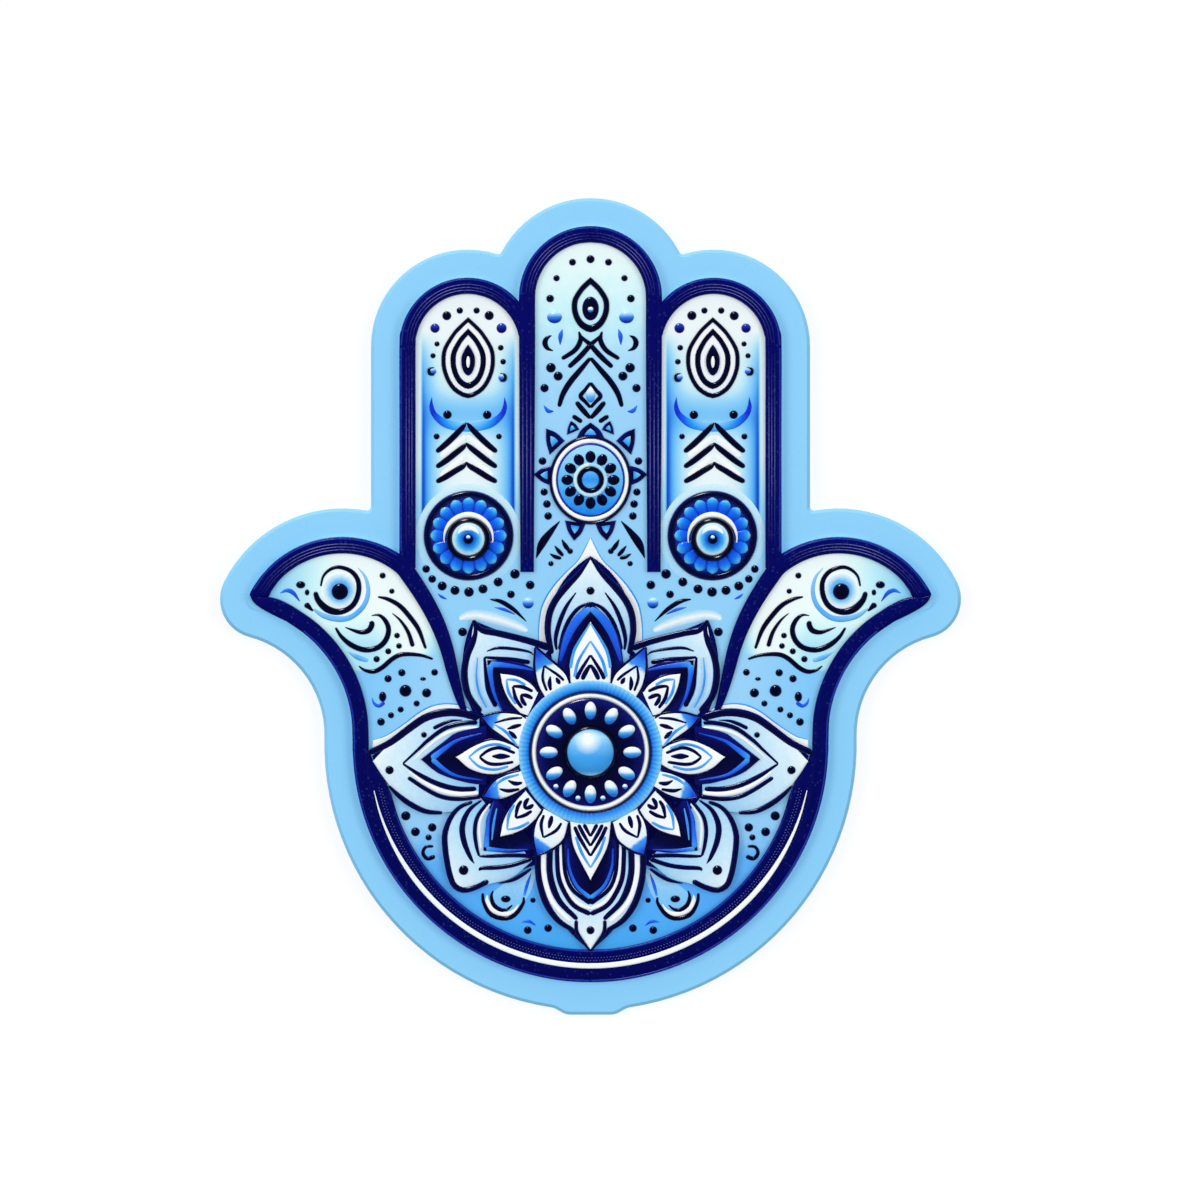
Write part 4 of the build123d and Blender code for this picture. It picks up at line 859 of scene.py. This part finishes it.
# Side fingers: nested teardrop, crescent boat, three chevrons, a wash that deepens to a royal line along both edges
finger = {
    "at": 30.6, "washTop": 115.3, "washFoot": 58, "washHalf": 12.95, "washR": 14,
    "lineAway": 11.3, "lineTop": 105.5, "lineSoft": 0.4, "fade": 2.4, "deepening": 12, "faintest": 0.02,
    "ground": 0.04, "glow": 0.4, "glowUp": 84.5, "glowReach": 5,
    "margin": 0.08, "marginFoot": 0.22, "marginUp": 74, "marginFall": 14,
    "dropRings": [((6.75, 108.8, 88.4), (5.6, 107.4, 89.7)), ((4.5, 106, 90.7), (3.05, 104.2, 92.4))],
    "dropCore": (1.75, 101.9, 94.1), "dropGround": (6.2, 108, 89), "glintUp": 97.5,
    "boat": [[(0, 82.9), (2.7, 83), (5.4, 83.4), (7.7, 84.8), (8.6, 86.5), (9.1, 88.8)],
             [(0, 79.9), (3.3, 80.2), (6.4, 81.2), (8.9, 83.6), (9.8, 86.2), (9.1, 88.8)]],
}


def solidDrop(axis, shape, base, rise):  # full teardrop with a flat top
    half, top, bottom = shape
    middle = (top + bottom) / 2
    return crown([(axis, middle)], dropOutline(half, top - middle, bottom - middle)[None], discTop, base, rise)


def boatShell(axis):
    # crescent with royal horns, azure towards the keel
    sides = [[(axis - out, up) for out, up in side[:0:-1]] + [(axis + out, up) for out, up in side]
             for side in finger["boat"]]
    points, faces, along, across = leaf(*sides, fieldBase, 0.35, roundTop, 60)
    royal = np.clip((np.abs(2 * along - 1) - 0.1) / 0.35, 0, 1)
    return points, faces, royal + 0.5 * across * (1 - royal), across


def washShell(way):
    # sheet in the slot of the frame, straight below and a half circle above
    ups = np.linspace(finger["washTop"], finger["washFoot"], 90)
    above = np.maximum(ups - hand["side"][1], 0)
    wide = np.minimum(finger["washHalf"], np.sqrt(finger["washR"] ** 2 - above**2))
    edges = [np.stack([way * hand["side"][0] + hem * wide, ups], axis=1)[None] for hem in (-1, 1)]
    points, faces, _, across = loft(edges, sheetTop, fieldBase, 0.16)
    # tone falls off from the line inwards, the line deepens downwards, and a glow lies above the boat
    out, up, _ = points.T
    inward = finger["lineAway"] - np.abs(out - way * finger["at"])
    ground = finger["ground"] + finger["glow"] * np.exp(-((up - finger["glowUp"]) / finger["glowReach"]) ** 2)
    deep = np.maximum(finger["faintest"], 1 - np.exp((up - finger["lineTop"]) / finger["deepening"]))
    fall = np.clip((finger["marginUp"] - up) / finger["marginFall"], 0, 1)
    margin = finger["margin"] + finger["marginFoot"] * fall
    tone = np.where(inward > 0, ground + (deep - ground) * np.exp(-inward / finger["fade"]),
                    margin + (deep - margin) * np.exp(-((inward / finger["lineSoft"]) ** 2)))
    return points, faces, np.clip(tone, 0, 1), across


axes = [way * finger["at"] for way in (-1, 1)]
sideDrops = []
for axis in axes:
    sideDrops += [ring((axis, 0), dropOutline(*outer), dropOutline(*inner), fieldFace, 0.7)
                  for outer, inner in finger["dropRings"]]
    sideDrops.append(solidDrop(axis, finger["dropCore"], fieldFace, 0.8))
addPiece("fingerWash", [washShell(way) for way in (-1, 1)], washInk)
addPiece("dropGrounds", [solidDrop(axis, finger["dropGround"], fieldBase, 0.25) for axis in axes], whiteInk)
addPiece("sideDrops", sideDrops, dotInk, pair("drops"))
addPiece("dropGlints", [mounds([(axis, finger["glintUp"], 0.5, 1.6)], fieldFace + 0.7, 0.25) for axis in axes],
         whiteInk)
# boat enamel: royal horns, azure keel, pale deck
boatInk = enamel("shadedEnamelBoat", "royal_acrylic",
                 [(0, "#8ACFFC"), (0.5, "#229EFC"), (0.75, "#1260F0"), (1, "#0A2CD8")], "along", 0.05)
addPiece("fingerBoats", [boatShell(axis) for axis in axes], boatInk, pair("boat"))

chevron = {"at": 31, "inks": [(82, 75), (76.9, 71.2), (72.1, 67.5)], "whites": [79.2, 74.3]}
chevrons = [brush([0.2, 1.2, 1.4, 1.4, 1.1], *[(chevron["at"] + way * out, up) for out, up in (
                (0, apex + 0.5), (0.8, apex - 0.6), (2.8, apex - 0.39 * (apex - foot)),
                (5.3, apex - 0.73 * (apex - foot)), (7.6, foot))])
            for apex, foot in chevron["inks"] for way in (-1, 1)]
trim("fingerChevrons", dotInk, pair("chevrons"), base=fieldBase, rise=0.75, spread=1.15, lines=chevrons)
chevronWhites = [brush([1.4, 2, 1.6], *[(chevron["at"] + way * out, apex - down)
                                        for out, down in ((0, 0), (2.6, 2.3), (6.6, 5.4))])
                 for apex in chevron["whites"] for way in (-1, 1)]
trim("chevronWhites", whiteInk, base=fieldFace - 0.05, rise=0.2, lines=chevronWhites)

# Middle finger: teardrop eye, feather, little leaves
addPiece("middleDrops", [ring(origin, dropOutline(4.75, 118.8, 104.9), dropOutline(3.28, 116.9, 106.8), fieldFace, 0.7),
                         mounds([(0, 110.9, 2.1, 3)], fieldFace, 0.8, 32)], dotInk, ["middle_drops"])
addPiece("middleDropGlint", [mounds([(0, 110.6, 0.75)], fieldFace + 0.6, 0.5)], dropGlassPaintedLight)
addPiece("featherCore", [mounds([(0, 89.3, 1.2, 2)], fieldBase, 0.4)], irisInkPaintedLight)
trim("middleFeather", dotInk, ["middle_feather"], base=fieldBase, rise=0.6, spread=1.2, lines=[
    brush([0.4, 1.1, 1.1, 0.9], (2.9, 105.2), (2.5, 103), (3.9, 100.5), (7.2, 98.3)),
    brush([0.5, 1.1], (2.9, 104.5), (1.6, 103.2), (0, 101.9)),
    brush([1.1, 1.2, 1], (0, 101.8), (2.6, 98.9), (5.5, 96.2)),
    brush([0.8, 1.3, 1.3, 0.9], (0, 98.6), (2.6, 95.5), (5.1, 92.5), (6.9, 89.5), (7.9, 86.3)),
    brush([0.7, 1, 0.7], (0, 92.4), (1.3, 90.6), (2.5, 89), (1.3, 87.6), (0, 86.1)),
    brush([1, 1.2, 0.8], (3.6, 87.6), (1.8, 85.4), (0, 83.4)),
    brush([1, 1], (4.5, 84.1), (2.1, 82.5)),
    brush([0.2, 0.9, 1.2, 0.9, 0.2], (9.7, 104.2), (10.9, 103.5), (11.4, 102.3), (10.8, 101), (9.3, 100.3)),
])
trim("palmBlades", dotInk, ["palm_blades"], base=fieldBase, rise=0.6, spread=1.2, lines=[
    brush([0.2, 1.3, 1.7, 0.2], (7.6, 57.8), (10, 55), (12.2, 52), (13.6, 48.4)),
    brush([0.2, 1, 0.8], (7.2, 53.2), (6.3, 51.6), (5.3, 50.3)),
    brush([0.2, 0.9, 0.7], (9, 51.6), (7.9, 50.2), (6.8, 49)),
    brush([0.2, 0.9, 0.7], (10.2, 49.6), (8.8, 48.8), (7.3, 48.4)),
    brush([0.3, 1.3, 0.2], (25.2, 38.2), (22.4, 37.6), (19.2, 35.6), (16, 32.6)),
])
trim("royalTrims", royalInk, base=fieldBase, rise=0.4, spread=1.2, lines=[
    brush([0.2, 1, 0.2], (7, 105.8), (7.5, 104), (7.6, 101.8)),
    brush([0.2, 0.9, 0.2], (11.7, 86.7), (10.6, 85.3), (9.2, 85.2)),
    brush([0.2, 0.7, 0.2], (24.1, 36.2), (21.6, 35.6), (18.9, 34.4)),
    brush([0.2, 0.6, 0.2], (38.2, 39.6), (37.2, 38.8), (36, 38.2)),
    brush([0.2, 0.9, 0.9, 0.2], (77.7, 39.7), (75.9, 40.4), (74.3, 39.7), (72.7, 37.6)),
    brush([0.2, 0.8, 0.8], (54.7, 13.6), (54.1, 12.1), (52.9, 11.5), (51.5, 12.4)),
    brush([0.2, 0.7, 0.2], (17.4, -42.6), (15.4, -42.4), (13.7, -43.4)),
    brush([0.5, 0.7, 0.2], (16.6, -36), (15.8, -33), (14.9, -30.5)),
])
print("fingers built")

# Thumbs: eye ring with a gap, pupil, gill crescents and a wave
thumb = {"pupil": (62.7, 40.1), "pupilR": 2.1, "irisUp": 0.3, "irisR": 4.6}
trim("thumbRings", dotInk, pair("thumb_ring"), base=fieldBase, rise=0.8, steps=60, lines=[
    brush([0.5, 0.9, 1.2, 1.4, 1.5, 1.9, 1.2], (67.5, 41.4), (66.8, 44), (65, 45.7), (62.8, 46.2), (59.9, 45.2),
          (58.2, 43), (58, 40.1), (59, 37.3), (60.9, 35.6), (63.4, 35), (66, 35.8), (68.1, 37.9), (68.9, 40.1)),
])
pupils = [(way * thumb["pupil"][0], thumb["pupil"][1]) for way in (-1, 1)]
addPiece("thumbPupils", [mounds([(*pupil, thumb["pupilR"]) for pupil in pupils], fieldFace, 1.0, 36)], dotInk,
         pair("thumb_pupil"))
# misted iris: azure round the pupil, white at the ring
glowInk = enamel("mistedEnamelIris", "field_acrylic",
                 [(0.3, "#3E9CF4"), (0.55, "#6FBEF8"), (0.75, "#BFE6FC"), (0.95, "#F0FBFE")], "across", 0.06)
addPiece("thumbIrises", [disc((out, up + thumb["irisUp"]), thumb["irisR"], fieldBase, 0.2) for out, up in pupils],
         glowInk)
trim("thumbGills", dotInk, pair("thumb_gills"), base=fieldBase, rise=0.65, steps=44, spread=1.2, lines=[
    brush([0.2, 0.9, 1.3, 1.1], (61.4, 31.2), (59.6, 30.5), (57.4, 29.9), (55.5, 30.4), (54.7, 31.9), (55.2, 32.6)),
    brush([0.2, 1, 1.2, 1.2, 1.2, 0.5], (54.8, 34.1), (52.9, 34.2), (51.3, 32.8), (50.5, 30.6), (51.2, 28),
          (53.2, 26.1), (56.4, 25.5), (59.6, 26.6), (62.2, 28.7), (63.8, 31.1)),
    brush([0.4, 1, 1.1, 1.1, 0.6], (53.2, 38.8), (50.7, 38.2), (47.8, 36.6), (45.3, 33.9), (43, 30.6), (41.2, 25.8)),
    brush([0.2, 0.8, 1], (49.6, 34.7), (47.5, 32.8), (45.6, 29.9), (44.4, 26.3)),
    brush([0.3, 1, 1.1, 1, 0.5], (58, 21.5), (56.4, 20.4), (54.2, 20.1), (52, 21.2), (49.4, 23.4), (46.9, 24.4),
          (42.6, 24.2), (39.4, 23.2)),
    brush([0.4, 1.6], (69.4, 35.2), (70.4, 36.2), (71.4, 37.1)),
])
# thinned azure enamel: pale at both ends of a stroke
paleInk = enamel("thinnedEnamelAzure", "royal_acrylic", [(0, "#A8DCFC"), (0.5, "#55AFF9"), (1, "#8ACBFB")])
trim("thumbAzures", paleInk, base=fieldBase, rise=0.4, steps=36, spread=1.3, lines=[
    brush([0.2, 0.8, 1, 1.1, 1.3, 0.5], (58.3, 46.2), (56.3, 43.7), (55.6, 40.1), (56.7, 36.6), (59.6, 33.9),
          (62.8, 33.2), (66.6, 34), (69.4, 35.8)),
    brush([0.2, 1, 0.8], (60.9, 25.2), (58.3, 23.7), (55.6, 22.8)),
])

# Bowl: curls between the lower petals
trim("bowlCurls", dotInk, base=fieldBase, rise=0.55, spread=1.2, lines=[
    brush([0.6, 0.8, 1], (39.3, -23.6), (41.2, -23.8), (41.9, -25.3), (40.8, -26.7), (38.9, -26.1)),
    brush([0.6, 1, 1, 0.5], (27, -35.3), (26.7, -37.7), (24.9, -40.7), (21.5, -41.7), (18.9, -40.7), (16.9, -38),
          (16.7, -36.3)),
    brush([0.3, 1, 0.9, 0.3], (24.4, -34.7), (24.8, -36.3), (24.2, -38.3), (22.5, -39.5), (20.9, -39.4), (19.5, -38.3)),
])
trim("curlWhites", whiteInk, base=fieldBase, rise=0.25, lines=[
    brush([0.3, 1.4, 1.5, 1.1, 0.3], (25.8, -35.6), (25.8, -37.4), (24.6, -39.4), (21.5, -40.6), (19.2, -39.8),
          (17.8, -37.8)),
])
curlSides = [[(21.4, -41), (16.6, -38.4), (13.9, -34), (13.5, -29)],
             [(21.4, -41), (25.6, -38.4), (24, -34.2), (13.5, -29)]]
# thin mist of sky blue enamel inside the curls, paler towards the petals
hazeInk = enamel("mistedEnamelSky", "field_acrylic", [(0, "#5CB4FA"), (0.5, "#84CAFB"), (1, "#B4E2FB")])
addPiece("curlMists", leaves(curlSides, fieldBase, 0.12), hazeInk)

# Dots: out, up, radius, and for ovals also half height
dotSpots = {
    "side": [(35.95, 109.1, 1.18), (32.7, 110.4, 0.85), (28.5, 110.4, 0.83), (25.35, 109.15, 1.2), (38.4, 102.05, 0.7),
             (39.4, 99.1, 0.7), (22.45, 101.1, 0.76), (21.85, 97.6, 0.76), (35.8, 84.35, 1.12), (25.85, 84.3, 1.12),
             (38.5, 78.9, 0.8), (22.9, 78.9, 0.75)],
    "eye": [(41.1, 45.75, 1), (39.6, 43.25, 1), (37.1, 41.5, 1.18), (33.9, 40.4, 1.18), (30.4, 40, 1.25),
            (26.9, 40.75, 1.18), (23.1, 42.5, 1.18), (18.9, 44.5, 1.25), (19.9, 39.4, 1), (15.1, 41.75, 1.13),
            (32, 30, 1.13)],
    "middle": [(4.5, 122.5, 0.9), (8.5, 118.5, 0.83), (10.1, 113.4, 1), (9.9, 96.1, 1.25), (8.1, 94, 1.18),
               (11.5, 91, 1.08), (12, 72.75, 1), (11.6, 65, 0.95), (10.9, 62, 1), (10.6, 59, 1), (5.1, 50.2, 0.75),
               (9.9, 47.1, 0.7)],
    "thumb": [(72.5, 41.8, 1.2, 0.95), (70.9, 39.9, 0.6, 0.8), (52, 44.1, 0.8), (49.7, 40.2, 0.7), (48.4, 29.1, 0.75),
              (47.9, 26.5, 0.75), (50.6, 25.15, 0.8), (53.5, 23.2, 0.83), (50.65, 18.3, 0.95), (47.2, 19.8, 0.95),
              (46.3, 15.3, 1.55), (41, 14.75, 1.18), (41.9, 18.25, 0.75, 0.5), (39, 19.9, 0.88), (52, 13.8, 0.95, 1.3),
              (43.5, 12.1, 0.8), (47.5, 10.6, 0.8), (49.9, 9.15, 0.8), (52.4, 7.5, 1)],
    "bowl": [(46.2, -16, 1.2), (39.6, -18.9, 1.1), (43.8, -20, 1.15), (40.5, -21.4, 0.8), (21.2, -36.8, 1.25, 0.9),
             (14.4, -37.1, 0.7), (15.7, -44.6, 1), (10.6, -44.1, 1)],
}
spots = [spot for group in dotSpots.values() for spot in mirrored(group)] + [(0, 123.25, 1.05)]
addPiece("navyDots", [mounds([spot], fieldBase, 0.35 + 0.45 * spot[2]) for spot in spots], dotInk, ["navy_dots"])
petalSpots = mirrored([(50.2, -4.5, 1.08), (41.6, 4.3, 0.75), (31.7, -29.5, 1.25)])
petalSpots += [(0, 40.3, 1.05), (0, -44.5, 1.05)]
addPiece("petalDots", [mounds(petalSpots, leafFace - 0.1, 0.8)], dotInk, ["petal_dots"])
# deep blue glass of the upper finger beads, with painted light: near black painted shade at the foot, lighter blue
# towards the top
deepGlassPaintedLight = enamel("pressedGlassDeepPaintedLight", "royal_acrylic", [(0.1, "#02044A"), (0.5, "#0B1C92"), (0.9, "#2B46C0")],
                   "along", 0.05, 1.0, (0.08, 0.14), 0.0, 0.5)
beadSpots = {"light": [(15.6, 37.2, 1.4), (9, 108.75, 1.9, 1.6), (39.55, 95.2, 1), (22.1, 93.65, 1)],
             "deep": [(38.9, 106, 1.22), (22.25, 106, 1.32)]}
addPiece("blueBeads", [mounds(mirrored(beadSpots["light"]), fieldBase, 0.9)], beadGlassPaintedLight, ["blue_beads"])
addPiece("deepBeads", [mounds(mirrored(beadSpots["deep"]), fieldBase, 0.9)], deepGlassPaintedLight)
trim("beadMoons", dotInk, base=fieldFace + 0.2, rise=0.8, lines=[
    brush([0.2, 0.8, 0.9, 0.3], (39.1, 96.2), (40.3, 95.7), (40.2, 94.6), (39.1, 94.2)),
    brush([0.2, 0.8, 0.9, 0.3], (22.6, 94.7), (21.4, 94.2), (21.5, 93), (22.6, 92.7)),
])
print("thumbs, bowl and dots built")

# Stage: white wall close behind, soft key from above, even fill
stage = {"half": 3, "behind": 0.0006, "paint": (0.95, 0.95, 0.95, 1), "glow": 1.06, "glowShare": 0.7,
         "white": (1, 1, 1, 1), "fill": 0.42, "shine": 0.05, "seen": 1.0}
wallMesh = bpy.data.meshes.new("wall")
corners = ((-1, -1), (1, -1), (1, 1), (-1, 1))
wallMesh.from_pydata([(out * stage["half"], stage["behind"], up * stage["half"]) for out, up in corners], [],
                     [(0, 1, 2, 3)])
wall = bpy.data.objects.new("wall", wallMesh)
bpy.context.collection.objects.link(wall)
# matt wall paint, lit partly by itself so that it stays white round a soft shadow; clear from behind
wallPaint = bpy.data.materials.new("whiteWallPaint")
wallPaint.use_nodes = True
wallTree = wallPaint.node_tree
wallTree.nodes.clear()
lit = addNode(wallTree, "ShaderNodeBsdfDiffuse", {"Color": stage["paint"]})
glow = addNode(wallTree, "ShaderNodeEmission", {"Color": stage["white"], "Strength": stage["glow"]})
painted = addNode(wallTree, "ShaderNodeMixShader", {0: stage["glowShare"]},
                  {1: lit.outputs["BSDF"], 2: glow.outputs["Emission"]})
clear = addNode(wallTree, "ShaderNodeBsdfTransparent")
facing = addNode(wallTree, "ShaderNodeNewGeometry")
shown = addNode(wallTree, "ShaderNodeMixShader",
                links={0: facing.outputs["Backfacing"], 1: painted.outputs["Shader"], 2: clear.outputs["BSDF"]})
addNode(wallTree, "ShaderNodeOutputMaterial", links={"Surface": shown.outputs["Shader"]})
wallMesh.materials.append(wallPaint)
wall.visible_diffuse = False
wall.visible_glossy = False
wall.visible_transmission = False
wall.visible_shadow = False

world = bpy.data.worlds.new("studio")
bpy.context.scene.world = world
world.use_nodes = True
worldTree = world.node_tree
worldTree.nodes.clear()
path = addNode(worldTree, "ShaderNodeLightPath")
even, dim, seen = (
    addNode(worldTree, "ShaderNodeBackground", {"Color": stage["white"], "Strength": stage[key]}).outputs["Background"]
    for key in ("fill", "shine", "seen"))
unseen = addNode(worldTree, "ShaderNodeMixShader", links={0: path.outputs["Is Glossy Ray"], 1: even, 2: dim})
sky = addNode(worldTree, "ShaderNodeMixShader",
              links={0: path.outputs["Is Camera Ray"], 1: unseen.outputs["Shader"], 2: seen})
addNode(worldTree, "ShaderNodeOutputWorld", links={"Surface": sky.outputs["Shader"]})

# each lamp: where it shines from, its spread in degrees, its strength
lamps = {"top": ((-0.25, -0.45, 1), 14, 1.6), "left": ((-0.7, -1, 0.1), 30, 0.75),
         "right": ((0.7, -1, 0.1), 30, 0.75), "back": ((0.1, 1, 0.15), 30, 1.3)}
for name, (lampAt, lampSpread, power) in lamps.items():
    lampLight = bpy.data.lights.new(name, "SUN")
    lampLight.angle = radians(lampSpread)
    lampLight.energy = power
    lampLight.use_shadow = name != "top"
    lamp = bpy.data.objects.new(name, lampLight)
    bpy.context.collection.objects.link(lamp)
    lamp.visible_glossy = name == "top"
    lamp.location = lampAt
    lamp.rotation_euler = lamp.location.to_track_quat("Z", "Y").to_euler()

view = {"width": 300, "centre": (2.375, 38), "lens": 150, "sensor": 36, "plane": -8}
camera = bpy.data.cameras.new("camera")
camera.lens = view["lens"]
camera.sensor_width = view["sensor"]
holder = bpy.data.objects.new("camera", camera)
bpy.context.collection.objects.link(holder)
distance = view["width"] * view["lens"] / view["sensor"]
holder.location = (view["centre"][0] * mm, (view["plane"] - distance) * mm, view["centre"][1] * mm)
holder.rotation_euler = (radians(90), 0, 0)
bpy.context.scene.camera = holder
bpy.context.scene.view_settings.view_transform = "Standard"
print("stage and camera set")
